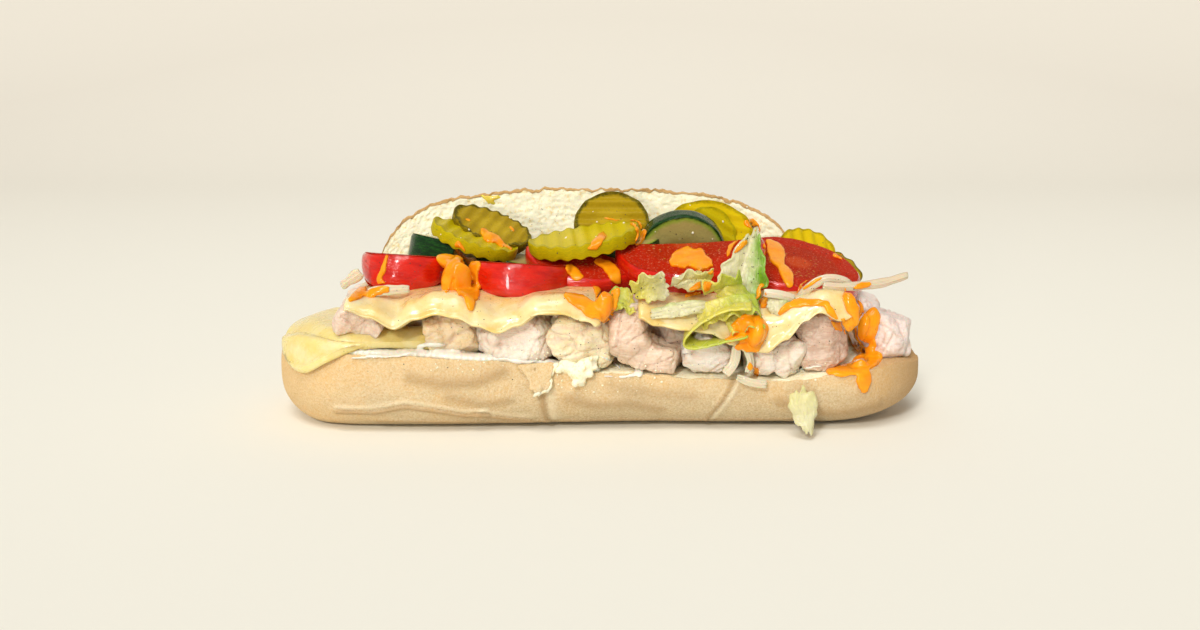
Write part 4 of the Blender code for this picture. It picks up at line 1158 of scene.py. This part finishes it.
# The last value says whether it is a half slice
CUCUMBERS = {
    "cucumber_1": ((17, 26, 10), ((-53, 14, 58), -9, -107, -12), True),
    "cucumber_2": ((15, 14, 5), ((-36, 14, 58), 10, 10, 14), True),
    "cucumber_3": ((15, 15, 6), ((10, 15, 64), 10, 20, -6), True),
    "cucumber_4": ((18.5, 18.5, 7.5), ((33, 15, 59), 108, 0, 0), False),
}
CUCUMBER_SKIN = (0.004, 0.030, 0.004)
CUCUMBER_STREAK = (0.012, 0.085, 0.006)
CUCUMBER_UNDER = (0.260, 0.360, 0.040)
CUCUMBER_FLESH = (0.420, 0.350, 0.110)
CUCUMBER_HEART = (0.330, 0.250, 0.070)
CUCUMBER_SEED = (0.520, 0.460, 0.200)
# What the cut shows from the middle outwards
CUCUMBER_RINGS = [
    (0.45, CUCUMBER_HEART),
    (0.6, CUCUMBER_FLESH),
    (0.84, CUCUMBER_FLESH),
    (0.92, CUCUMBER_UNDER),
    (0.97, CUCUMBER_SKIN),
]

cut_cucumber, tree, shader = paint(
    "cut_cucumber", Roughness=0.24, Specular_IOR_Level=0.16, Subsurface_Weight=0.12,
    Subsurface_Scale=0.003, Subsurface_Radius=(0.9, 1.0, 0.4),
)
own, reach = slice_ways(tree)
cut = ramp(tree, strayed(tree, reach, own, 6, 4, 0.05), CUCUMBER_RINGS)
seed_mask = seeds_in(tree, own, 7.0, 0.18, 0.3, 0.5, stretch(tree, reach, 0.6, 0.45))
tree.links.new(blended(tree, seed_mask, cut, CUCUMBER_SEED), shader.inputs["Base Color"])
relief(tree, shader, clouds(tree, own, 16, 4), 0.0006, 0.4)

cucumber_rind, tree, shader = paint(
    "cucumber_rind", Roughness=0.12, Specular_IOR_Level=0.15, Coat_Weight=0.4, Coat_Roughness=0.03,
)
own = slice_ways(tree)[0]
streaks = stretch(tree, clouds(tree, own, 7, 4, 0.7), 0.46, 0.64)
rind = blended(tree, product(tree, streaks, 0.85), CUCUMBER_SKIN, CUCUMBER_STREAK)
tree.links.new(rind, shader.inputs["Base Color"])
relief(tree, shader, clouds(tree, own, 9, 4), 0.0009, 0.35)

for name, (size, spot, half) in CUCUMBERS.items():
    bm = slice_of(size, spot, 60, 8, 0.5, half=half, dents=0.3)
    made = piece_from(f"{name}_slice", bm, cut_cucumber, [name], sharp=60, second=cucumber_rind)
    dressed.append(made)


# The tomato
# Thick slices of ripe tomato, most of them halved, with the round side to the front: taut glossy red
# skin round wet, grainy flesh that is set with walls, jelly and a few pale seeds.

# After its size and place: how much it bends in millimetres, and whether it is a half slice
TOMATOES = {
    "tomato_1": ((17.5, 20, 13.4), ((-75.5, 1, 54.4), -9, -4, 3), 0.0, True),
    "tomato_2": ((19, 20, 12.8), ((-31, -6, 52.4), -9, 4, 4), 0.0, True),
    "tomato_3": ((24, 24, 9), ((-5, 9, 59), 22, 2, 2), 0.6, True),
    "tomato_4": ((28.5, 25, 10), ((35, 3, 61.5), 20, -4, -3), 1.2, True),
    "tomato_5": ((25, 21, 10), ((77, 1, 53.5), 19, 4, 9), -1.0, False),
}
TOMATO_SKIN = (0.720, 0.016, 0.004)
TOMATO_DEEP = (0.520, 0.006, 0.002)
TOMATO_FLESH = (0.700, 0.018, 0.003)
TOMATO_WALL = (0.800, 0.080, 0.010)
TOMATO_JELLY = (0.580, 0.022, 0.002)
TOMATO_SEED = (0.640, 0.300, 0.060)
# The colour of the pale dots on the cut face: pale grains, and painted highlights for wet glints.
TOMATO_MOIST = (0.930, 0.340, 0.200)
TOMATO_FLECK = (0.850, 0.200, 0.050)
# What the cut shows from the middle outwards
TOMATO_RINGS = [
    (0.16, TOMATO_WALL),
    (0.26, TOMATO_JELLY),
    (0.6, TOMATO_JELLY),
    (0.68, TOMATO_FLESH),
    (0.96, TOMATO_FLESH),
    (0.99, TOMATO_SKIN),
]

cut_tomato, tree, shader = paint(
    "cut_tomato", Roughness=0.3, Specular_IOR_Level=0.03, Subsurface_Weight=0.15,
    Subsurface_Scale=0.004, Subsurface_Radius=(1.0, 0.10, 0.05),
)
own, reach = slice_ways(tree)
cut = ramp(tree, strayed(tree, reach, own, 3, 3, 0.09), TOMATO_RINGS)
pocket = product(tree, stretch(tree, reach, 0.62, 0.55), stretch(tree, reach, 0.22, 0.3))
seed_mask = seeds_in(tree, own, 10.0, 0.14, 0.2, 1.0, pocket)
cut = blended(tree, seed_mask, cut, TOMATO_SEED)
grainy = product(tree, stretch(tree, clouds(tree, own, 26, 4, 0.7), 0.45, 0.7), 0.5)
cut = blended(tree, grainy, cut, TOMATO_WALL)
# Small pale dots are painted on the cut face: pale grains, and painted highlights standing for wet glints.
moist = stretch(tree, clouds(tree, own, 27, 3, 0.65), 0.59, 0.63, 0.0, 0.65)
tree.links.new(blended(tree, moist, cut, TOMATO_MOIST), shader.inputs["Base Color"])
relief(tree, shader, clouds(tree, own, 40, 4, 0.75), 0.0016, 0.9)

tomato_skin, tree, shader = paint(
    "tomato_skin", Roughness=0.14, Specular_IOR_Level=0.35, Coat_Weight=0.5, Coat_Roughness=0.05,
    Subsurface_Weight=0.15, Subsurface_Scale=0.004, Subsurface_Radius=(1.0, 0.10, 0.05),
)
own = slice_ways(tree)[0]
taut = ramp(tree, clouds(tree, own, 2.5, 4), [(0.35, TOMATO_DEEP), (0.65, TOMATO_SKIN)])
flecks = stretch(tree, clouds(tree, own, 45, 2), 0.66, 0.72, 0.0, 0.5)
tree.links.new(blended(tree, flecks, taut, TOMATO_FLECK), shader.inputs["Base Color"])
relief(tree, shader, clouds(tree, own, 5, 4, 0.6), 0.0012, 0.45)

TUCKED = {"tomato_1": 0.45, "tomato_2": 0.35}
FIRST_TOMATO_SEED = 30
for seed, (name, (size, spot, bend, half)) in enumerate(TOMATOES.items(), FIRST_TOMATO_SEED):
    tuck = TUCKED.get(name, 0.0)
    bm = slice_of(size, spot, 72, 12, 0.7, bend, half=half, bulge=0.04, seed=seed, dents=0.45, tuck=tuck)
    made = piece_from(f"{name}_slice", bm, cut_tomato, [name], sharp=60, second=tomato_skin)
    dressed.append(made)


# The chicken
# Cooked breast meat in chunks of about two centimetres: nearly white, faintly pink, with torn fibres
# and clefts where the grain parts, and a moist surface. The rest of it lies behind in a heap.

CHICKEN_WHITE = (0.960, 0.830, 0.700)
CHICKEN_PINK = (0.830, 0.580, 0.440)
CHICKEN_CREAM = (0.960, 0.790, 0.460)
CHICKEN_SEARED = (0.800, 0.450, 0.160)
# A greyer tone for patches, and also the painted shade in the clefts.
CHICKEN_GREY = (0.600, 0.400, 0.270)
# Body, patches, how much of the patches, the way that the fibres run, and how deep its clefts are
CHUNK_TONES = {
    "chicken_1": ((0.860, 0.640, 0.510), CHICKEN_PINK, 0.45, (0.3, 0.1, 1.0), 0.8),
    "chicken_2": ((0.960, 0.740, 0.430), CHICKEN_SEARED, 0.45, (1.0, 0.2, 0.7), 0.7),
    "chicken_3": (CHICKEN_WHITE, CHICKEN_PINK, 0.35, (1.0, 0.1, 0.5), 1.0),
    "chicken_4": (CHICKEN_CREAM, CHICKEN_WHITE, 0.35, (1.0, 0.1, 0.25), 1.3),
    "chicken_5": ((0.840, 0.610, 0.440), CHICKEN_GREY, 0.45, (0.5, 0.1, 1.0), 1.2),
    "chicken_6": (CHICKEN_WHITE, CHICKEN_GREY, 0.40, (1.0, 0.2, 0.3), 1.0),
    "chicken_7": ((0.980, 0.880, 0.790), CHICKEN_PINK, 0.20, (1.0, 0.1, 0.6), 1.2),
    "chicken_8": ((0.960, 0.830, 0.720), CHICKEN_CREAM, 0.30, (1.0, 0.1, 0.2), 1.0),
    "chicken_9": ((0.680, 0.470, 0.360), CHICKEN_GREY, 0.50, (0.3, 0.1, 1.0), 0.7),
    "chicken_10": ((0.900, 0.760, 0.710), CHICKEN_PINK, 0.35, (0.6, 0.1, 1.0), 1.0),
    "chicken_11": ((0.900, 0.760, 0.700), CHICKEN_PINK, 0.35, (0.6, 0.1, 1.0), 1.0),
    "chicken_heap": ((0.900, 0.740, 0.600), CHICKEN_GREY, 0.45, (1.0, 0.4, 0.3), 1.0),
}


def chicken_paint(name):
    body, patch, amount, grain, _ = CHUNK_TONES[name]
    made, tree, shader = paint(
        name + "_meat", Roughness=0.42, Coat_Weight=0.15, Coat_Roughness=0.2, Subsurface_Weight=0.4,
        Subsurface_Scale=0.005, Subsurface_Radius=(1.0, 0.5, 0.35),
    )
    place = object_place(tree)
    fibre = node_of(tree, "ShaderNodeMapping")
    fibre.inputs["Rotation"].default_value = Vector(grain).to_track_quat("X", "Z").to_euler()
    fibre.inputs["Scale"].default_value = (0.22, 1.0, 1.0)
    tree.links.new(place, fibre.inputs["Vector"])
    threads = clouds(tree, fibre.outputs["Vector"], 900, 5, 0.6)
    patches = stretch(tree, clouds(tree, place, 130, 4), 0.42, 0.62, 0.0, amount)
    tone = blended(tree, patches, body, patch)
    tone = blended(tree, stretch(tree, threads, 0.42, 0.60, 0.0, 0.45), tone, CHICKEN_WHITE)
    bands = stretch(tree, clouds(tree, fibre.outputs["Vector"], 320, 3), 0.54, 0.68, 0.0, 0.55)
    tone = blended(tree, bands, tone, CHICKEN_PINK)
    # The clefts are painted greyer, a painted shade.
    tone = blended(tree, product(tree, share_of(tree, "cleft"), 0.5), tone, CHICKEN_GREY)
    tree.links.new(tone, shader.inputs["Base Color"])
    relief(tree, shader, calc(tree, "ADD", threads, clouds(tree, place, 700, 3)), 0.0009, 0.8)
    return made


# How wide the flat breaks of the meat are, how flat they are, and how far a point may be moved for them
LARGE_BREAKS = (11 * MM, 0.9, 2.8 * MM)
SMALL_BREAKS = (5 * MM, 0.5, 0.8 * MM)
MEAT_VOXEL = 0.55 * MM
HEAP_VOXEL = 1.0 * MM


def broken_faces(bm, turn, seed, size, strength, limit):
    """Meat pulled apart breaks along flat faces: each patch of the surface, about as wide as size, is drawn
    towards its own slightly tilted plane. Gives how near each point is to the edge of its patch."""
    bm.normal_update()
    patches = {}
    own = []
    for vertex in bm.verts:
        at = (turn @ vertex.co) / size + Vector((seed * 1.3, seed * 0.7, seed * 2.1))
        near, middles = noise.voronoi(at)
        first, second = (tuple(round(c, 3) for c in middle) for middle in middles[:2])
        patches.setdefault(first, []).append(vertex)
        own.append((first, second, near[1] - near[0]))
    planes = {}
    for middle, patch in patches.items():
        centre = sum((vertex.co for vertex in patch), Vector()) / len(patch)
        facing = sum((vertex.normal for vertex in patch), Vector()).normalized()
        planes[middle] = (centre, (facing + 0.6 * noise.noise_vector(Vector(middle) * 2.3)).normalized())
    moves = []
    for vertex, (first, second, edge) in zip(bm.verts, own):
        share = 0.5 * max(0.0, 1 - edge / 0.12)
        move = Vector()
        for middle, weight in ((first, 1 - share), (second if second in planes else first, share)):
            centre, facing = planes[middle]
            move += facing * (centre - vertex.co).dot(facing) * weight * strength
        if move.length > limit:
            move *= limit / move.length
        moves.append(move)
    for vertex, move in zip(bm.verts, moves):
        vertex.co += move
    return [edge for _, _, edge in own]


# The tilt of the breaks is drawn from a seed, so that it is the same each run
MEAT_SEED = 11
noise.seed_set(MEAT_SEED)
for index, (name, (_, _, _, grain, clefts)) in enumerate(CHUNK_TONES.items()):
    bm = bmesh.new()
    bm.from_mesh(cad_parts[name].data)
    bmesh.ops.remove_doubles(bm, verts=bm.verts, dist=0.001 * MM)
    bm = remeshed(bm, HEAP_VOXEL if name == "chicken_heap" else MEAT_VOXEL)
    soften(bm, 5)
    turn = Vector(grain).to_track_quat("X", "Z").to_matrix().inverted()
    broken_faces(bm, turn, index, *LARGE_BREAKS)
    soften(bm, 1, 0.3)
    edges = broken_faces(bm, turn, index + 3, *SMALL_BREAKS)
    bm.normal_update()
    # How far each point lies in a cleft, kept so that it can be painted darker as painted shade.
    cleft = bm.verts.layers.float.new("cleft")
    moves = []
    for vertex, edge in zip(bm.verts, edges):
        spot = vertex.co
        own = turn @ spot
        fibre = Vector((own.x * 0.14, own.y, own.z))
        parted = max(0.0, 1 - abs(lumps(fibre, 6.5 * MM, index + 40)) / 0.10) ** 1.5
        torn = max(0.0, 1 - abs(lumps(spot, 12 * MM, index + 60)) / 0.05)
        push = 0.6 + 0.5 * lumps(spot, 9 * MM, index + 7) - 0.12 * max(0.0, 1 - edge / 0.06)
        push += 0.38 * lumps(fibre, 1.7 * MM, index + 20) + 0.16 * lumps(fibre, 0.8 * MM, index + 30)
        push -= clefts * (0.6 * parted + 0.8 * torn)
        vertex[cleft] = min(1.0, 0.8 * parted + 0.8 * torn)
        moves.append(vertex.normal * push * MM)
    for vertex, move in zip(bm.verts, moves):
        vertex.co += move
    soften(bm, 1, 0.3)
    dressed.append(piece_from(f"{name}_meat", bm, chicken_paint(name), [name]))


# The sauce
# A thick, shiny orange sauce, squeezed over the filling in streams. It runs down the faces of what it
# lands on, gathers in drops at their edges, and ends in one long drip on the front crust.

PIXELS_PER_TAN = LENS / SENSOR * PHOTO_WIDTH
SIGHT = camera.rotation_euler.to_matrix()
# Each stream: its places in the picture as (across, down, width in mm), and how thick it lies in mm
SAUCE_STREAMS = [
    ([(387, 257, 2.6), (384, 268, 3.2), (380, 280, 3.0), (386, 289, 4.5)], 0.9),
    ([(350, 300, 3.2), (358, 294, 5.0), (370, 292, 5.2), (381, 291, 4.0)], 1.0),
    ([(451, 262, 4.0), (449, 272, 4.6), (447, 283, 4.6), (446, 290, 3.4)], 1.0),
    (
        [(459, 262, 6.0), (464, 268, 9.5), (463, 280, 10.0), (467, 290, 8.0), (470, 300, 5.5),
         (471, 309, 3.2)], 1.6
    ),
    ([(476, 262, 5.0), (473, 272, 5.5), (474, 286, 5.5), (475, 297, 4.4)], 1.3),
    ([(458, 245, 4.0), (461, 252, 4.8), (462, 258, 4.0)], 0.8),
    ([(482, 231, 3.0), (488, 236, 5.0), (497, 240, 4.0), (503, 246, 2.6)], 1.1),
    ([(506, 246, 2.2), (512, 249, 1.8)], 0.7),
    ([(567, 266, 2.4), (572, 270, 5.0), (578, 276, 5.0)], 1.0),
    ([(597, 262, 3.4), (606, 265, 5.0), (613, 272, 6.0), (617, 281, 3.6)], 1.2),
    ([(566, 296, 3.0), (576, 301, 5.5), (590, 309, 6.5), (603, 317, 5.0)], 1.2),
    ([(598, 314, 4.0), (606, 308, 7.5), (613, 299, 6.0), (617, 291, 3.6)], 1.3),
    ([(595, 288, 2.6), (600, 297, 4.6), (602, 308, 6.0), (603, 318, 4.0)], 1.3),
    ([(589, 249, 2.4), (595, 245, 4.2), (602, 237, 4.2)], 1.0),
    ([(632, 222, 3.4), (638, 226, 4.2), (642, 234, 4.8), (637, 243, 3.4)], 1.0),
    ([(604, 218, 1.6), (622, 221, 2.0)], 0.5),
    ([(673, 262, 4.6), (684, 258, 8.5), (697, 260, 9.0), (707, 266, 6.0), (711, 272, 3.0)], 1.3),
    ([(728, 254, 3.0), (735, 247, 5.0), (744, 243, 4.0)], 1.0),
    ([(768, 244, 5.0), (774, 250, 7.5), (778, 259, 6.5), (783, 268, 3.6)], 1.1),
    ([(779, 264, 3.0), (786, 274, 5.5), (790, 284, 4.0)], 1.1),
    ([(686, 296, 2.2), (694, 291, 4.4), (704, 286, 5.2), (711, 282, 3.0)], 1.0),
    ([(762, 284, 2.4), (761, 292, 4.5), (762, 300, 5.0), (763, 306, 3.4)], 1.2),
    ([(780, 313, 3.0), (788, 306, 4.0), (802, 303, 4.2), (818, 303, 3.6), (828, 304, 3.0)], 0.9),
    ([(797, 293, 2.4), (806, 285, 4.0), (820, 277, 2.8)], 0.8),
    ([(855, 289, 3.0), (862, 286, 3.8), (869, 284, 3.0)], 0.8),
    (
        [(735, 326, 4.0), (746, 322, 7.0), (757, 325, 8.0), (760, 334, 7.0), (752, 343, 8.0),
         (738, 347, 3.6)], 1.0
    ),
    ([(728, 341, 3.0), (738, 336, 6.0), (748, 333, 8.0), (756, 331, 5.0)], 0.9),
    ([(748, 364, 3.2), (754, 370, 4.4), (757, 373, 3.0)], 1.0),
    ([(826, 304, 3.4), (831, 313, 4.4), (836, 324, 3.8), (841, 331, 2.4)], 1.0),
    ([(846, 293, 3.6), (852, 304, 6.0), (860, 317, 7.0), (862, 330, 5.5), (860, 340, 3.4)], 1.5),
    ([(843, 320, 3.0), (850, 334, 4.0), (858, 346, 5.0), (866, 354, 5.0), (874, 360, 4.5)], 1.3),
    ([(874, 342, 2.6), (870, 352, 4.4), (864, 360, 5.4)], 1.2),
    ([(829, 372, 3.4), (840, 372, 4.6), (852, 369, 6.0), (866, 364, 7.5), (878, 357, 5.0)], 1.4),
    ([(860, 362, 7.0), (862, 372, 7.0), (863, 381, 6.4), (864, 389, 4.4)], 1.5),
    ([(746, 222, 3.4), (752, 224, 5.0), (758, 230, 3.4)], 0.9),
    ([(835, 255, 2.6), (842, 257, 3.0)], 0.8),
    ([(511, 227, 2.4), (514, 230, 2.4)], 0.5),
    ([(466, 219, 1.8), (470, 220, 1.8)], 0.5),
]
BRIDGE = 8 * MM
PICTURE_SCALE = 2.6
SAUCE_GRID = 1.4
SAUCE_RIM = 1.3
SAUCE_SINK = 0.7

# Where the sauce has gathered: centre and size in millimetres, and turn in degrees
SAUCE_POOLS = [
    ((97, -29.5, 19), (6.5, 8, 15), (0, 6, 0)),
    ((-57, -12, 60.2), (12, 12, 6), (0, 20, 0)),
    ((-55.5, -20, 55), (10, 6, 16), (8, 8, 0)),
    ((-53, -22, 54), (9.5, 5, 17), (10, 6, 0)),
    ((1.3, -35.5, 48), (5.5, 6, 12), (0, 10, 0)),
    ((57, -38.3, 39), (12, 5.5, 11), (0, 12, 0)),
    ((91, -36, 46), (7, 6, 15), (6, -8, 0)),
    ((103, -18, 37), (8, 8, 14), (0, 14, 0)),
]
pooled = bmesh.new()
for k, (centre, size, turn) in enumerate(SAUCE_POOLS):
    facing = Euler([math.radians(angle) for angle in turn]).to_matrix() @ Vector((0, 0, 1))
    blob(pooled, Vector(centre) * MM, Vector(size) * MM, k, facing, 3)
pool_mesh = bpy.data.meshes.new("pools")
pooled.to_mesh(pool_mesh)
pooled.free()

bm = bmesh.new()
for piece in dressed + [roll_base, roll_lid]:
    bm.from_mesh(piece.data)
bm.from_mesh(pool_mesh)
food_skin = BVHTree.FromBMesh(bm)
bm.free()


def seen_at(across, down):
    """The food that the picture shows at a place: the point, and the way its surface faces."""
    way = SIGHT @ Vector((across - PHOTO_WIDTH / 2, PHOTO_HEIGHT / 2 - down, -PIXELS_PER_TAN)).normalized()
    point, normal, _, _ = food_skin.ray_cast(camera.location, way)
    if point is None:
        return None
    if normal.dot(way) > 0:
        normal = -normal
    return point, (normal - 0.35 * way).normalized()


def poured(streams):
    """Lays a skin along each stream, on whatever it runs over: full in its middle and thin at its rims."""
    whole = bmesh.new()
    for index, (places, thick) in enumerate(streams):
        spine = [curve_point(places, k / 20) / MM for k in range(21)]
        spine = [(p.xy, p.z * PICTURE_SCALE / 2) for p in spine]
        low = [min(p[k] - 1.3 * half for p, half in spine) for k in (0, 1)]
        high = [max(p[k] + 1.3 * half for p, half in spine) for k in (0, 1)]
        bm = bmesh.new()
        across, down = (math.ceil((high[k] - low[k]) / SAUCE_GRID) for k in (0, 1))
        bmesh.ops.create_grid(bm, x_segments=across, y_segments=down, size=1)
        outward = bm.verts.layers.float_vector.new("outward")
        missed = []
        for vertex in bm.verts:
            spot = Vector([mix(low[k], high[k], (vertex.co[k] + 1) / 2) for k in (0, 1)])
            level = spot.to_3d()
            uneven = 1 + 0.28 * lumps(level, 7, index) + 0.12 * lumps(level, 3, index)
            inside = max(half * uneven - (spot - p).length for p, half in spine) / PICTURE_SCALE
            found = seen_at(*spot) if inside > 0 else None
            if found is None:
                missed.append(vertex)
                continue
            rise = math.sqrt(1 - (1 - min(inside / SAUCE_RIM, 1.0)) ** 2)
            vertex.co = found[0] + found[1] * thick * MM * rise
            vertex[outward] = found[1]
        bmesh.ops.delete(bm, geom=missed, context="VERTS")
        long_edges = [edge for edge in bm.edges if edge.calc_length() > BRIDGE]
        bmesh.ops.delete(bm, geom=long_edges, context="EDGES")
        bmesh.ops.delete(bm, geom=[v for v in bm.verts if not v.link_faces], context="VERTS")
        soften(bm, 3)
        grown = bmesh.ops.extrude_face_region(bm, geom=bm.faces[:])["geom"]
        for vertex in (v for v in grown if isinstance(v, bmesh.types.BMVert)):
            vertex.co -= vertex[outward] * (thick + SAUCE_SINK) * MM
        take_in(whole, bm)
    return whole


SAUCE_ORANGE = (0.960, 0.280, 0.004)
SAUCE_LIGHT = (0.980, 0.400, 0.008)
SAUCE_SPICE = (0.550, 0.100, 0.010)
sauce_paint, tree, shader = paint(
    "orange_sauce", Roughness=0.18, Specular_IOR_Level=0.2, Coat_Weight=0.3, Coat_Roughness=0.04,
    Subsurface_Weight=0.15, Subsurface_Scale=0.002,
)
place = object_place(tree)
tone = ramp(tree, clouds(tree, place, 160, 4), [(0.35, SAUCE_ORANGE), (0.7, SAUCE_LIGHT)])
spice = stretch(tree, clouds(tree, place, 1500, 2), 0.68, 0.72, 0.0, 0.6)
tree.links.new(blended(tree, spice, tone, SAUCE_SPICE), shader.inputs["Base Color"])
relief(tree, shader, clouds(tree, place, 260, 2), 0.0005, 0.25)

bm = poured(SAUCE_STREAMS)
bm.from_mesh(pool_mesh)
bm = remeshed(bm)
soften(bm, 4)
piece_from("sauce", bm, sauce_paint)


# The spread and the stains
# A white creamy spread was wiped on the cut face and shows along its front edge, with one drop fallen
# on the crust. A little yellow mustard has soaked into the crumb of the lid.

SPREAD_STREAMS = [
    ([(352, 358, 1.6), (372, 357, 2.2), (396, 356, 2.6), (412, 354, 3.0), (430, 352, 3.4)], 2.2),
    ([(426, 353, 3.4), (448, 352, 3.6), (470, 354, 3.2), (492, 357, 2.6)], 1.4),
    ([(418, 346, 2.2), (436, 344, 2.8), (446, 345, 1.8)], 1.0),
    ([(490, 358, 2.2), (516, 361, 2.6), (536, 362, 2.2), (548, 366, 2.0)], 1.2),
    ([(536, 360, 1.5), (552, 366, 2.0)], 0.8),
    ([(604, 376, 1.6), (622, 377, 2.0), (636, 374, 2.8)], 1.0),
    ([(637, 371, 3.4), (640, 374, 3.8)], 1.6),
    ([(600, 356, 1.6), (612, 362, 2.0), (620, 368, 1.6)], 0.8),
    ([(792, 372, 1.6), (806, 368, 1.8), (822, 366, 1.4)], 0.8),
]
MUSTARD_STREAMS = [
    ([(482, 196, 2.0), (490, 199, 3.4), (499, 197, 2.4)], 0.5),
    ([(487, 203, 1.6), (495, 203, 1.8)], 0.4),
]
SPREAD_WHITE = (0.880, 0.830, 0.730)
MUSTARD_YELLOW = (0.880, 0.640, 0.060)
CREAMS = [("spread", SPREAD_WHITE, SPREAD_STREAMS), ("mustard", MUSTARD_YELLOW, MUSTARD_STREAMS)]
# The lumps along the front of the cut face: from where to where in millimetres, and how many
SPREAD_BED = (-99, -2, 44)

for name, colour, streams in CREAMS:
    cream_paint, tree, shader = paint(
        f"{name}_cream", Roughness=0.3, Coat_Weight=0.2, Subsurface_Weight=0.3,
        Subsurface_Scale=0.003,
    )
    place = object_place(tree)
    darker = tuple(0.9 * c for c in colour)
    tone = ramp(tree, clouds(tree, place, 240, 3), [(0.35, darker), (0.6, colour)])
    tree.links.new(tone, shader.inputs["Base Color"])
    relief(tree, shader, clouds(tree, place, 500, 3), 0.0004, 0.4)
    bm = poured(streams)
    if name == "spread":
        bed = bmesh.new()
        first, last, count = SPREAD_BED
        for k in range(count):
            x = mix(first, last, k / (count - 1)) * MM
            width, up, down, front, _ = base_size_at(x)
            edge = section_point(math.pi - edge_angle(front, up), width, up, down)[0]
            y = edge + (3.4 + 0.9 * lumps(Vector((x, 0, 0)), 9 * MM, 4)) * MM
            high = 3.4 + 1.2 * lumps(Vector((x, 0, 0)), 7 * MM, 6)
            blob(bed, Vector((x, y, cut_face_height(x, y) + 0.5 * MM)), Vector((4.5, 6.5, high)) * MM, k)
        take_in(bm, bed)
    bm = remeshed(bm)
    soften(bm, 3)
    piece_from(name, bm, cream_paint)


# The pepper and the crumbs
# Coarse black pepper is ground over the filling, and grains of crumb from the knife lie on the crust.
# Both are loose, so each grain is a small uneven ball of its own.

PEPPER_BLACK = (0.015, 0.010, 0.007)
PEPPER_BROWN = (0.100, 0.055, 0.030)
pepper_paint, tree, shader = paint("black_pepper", Roughness=0.6)
tone = ramp(tree, clouds(tree, object_place(tree), 2500, 2), [(0.35, PEPPER_BLACK), (0.7, PEPPER_BROWN)])
tree.links.new(tone, shader.inputs["Base Color"])
relief(tree, shader, clouds(tree, object_place(tree), 3000, 2), 0.0002)

# Where the grains fall in the picture: left, top, right, bottom, and how many
PEPPERED = [
    (365, 250, 455, 292, 26), (455, 262, 570, 305, 26), (430, 222, 525, 255, 30), (525, 205, 648, 255, 60),
    (560, 250, 700, 290, 60), (640, 230, 785, 260, 50), (740, 240, 855, 290, 70), (385, 290, 610, 335, 45),
    (570, 285, 700, 330, 40), (690, 290, 850, 350, 40), (340, 330, 880, 380, 50), (380, 215, 760, 235, 20),
]
CRUMBED = [
    (430, 350, 560, 372, 40), (540, 362, 640, 392, 50), (640, 360, 830, 385, 40), (395, 205, 780, 240, 30),
]
draw = random.Random(17)


def scatter(bm, boxes, smallest, largest):
    """Drops grains on the food that the picture shows within boxes, with their sizes in millimetres."""
    for left, top, right, bottom, count in boxes:
        for _ in range(count):
            found = seen_at(draw.uniform(left, right), draw.uniform(top, bottom))
            size = draw.uniform(smallest, largest) * draw.uniform(0.6, 1.0) * MM
            if found:
                sides = (size, size * draw.uniform(0.7, 1.3), 0.8 * size)
                blob(bm, found[0], sides, draw.random() * 9, found[1], 1)


bm = bmesh.new()
scatter(bm, PEPPERED, 0.22, 0.6)
piece_from("pepper", bm, pepper_paint)

bm = bmesh.new()
grains = bm.verts.layers.float.new("crumb")
scatter(bm, CRUMBED, 0.4, 1.3)
for vertex in bm.verts:
    vertex[grains] = 1.0
piece_from("crumb_grains", bm, crust_paint)


low, high = cad_box
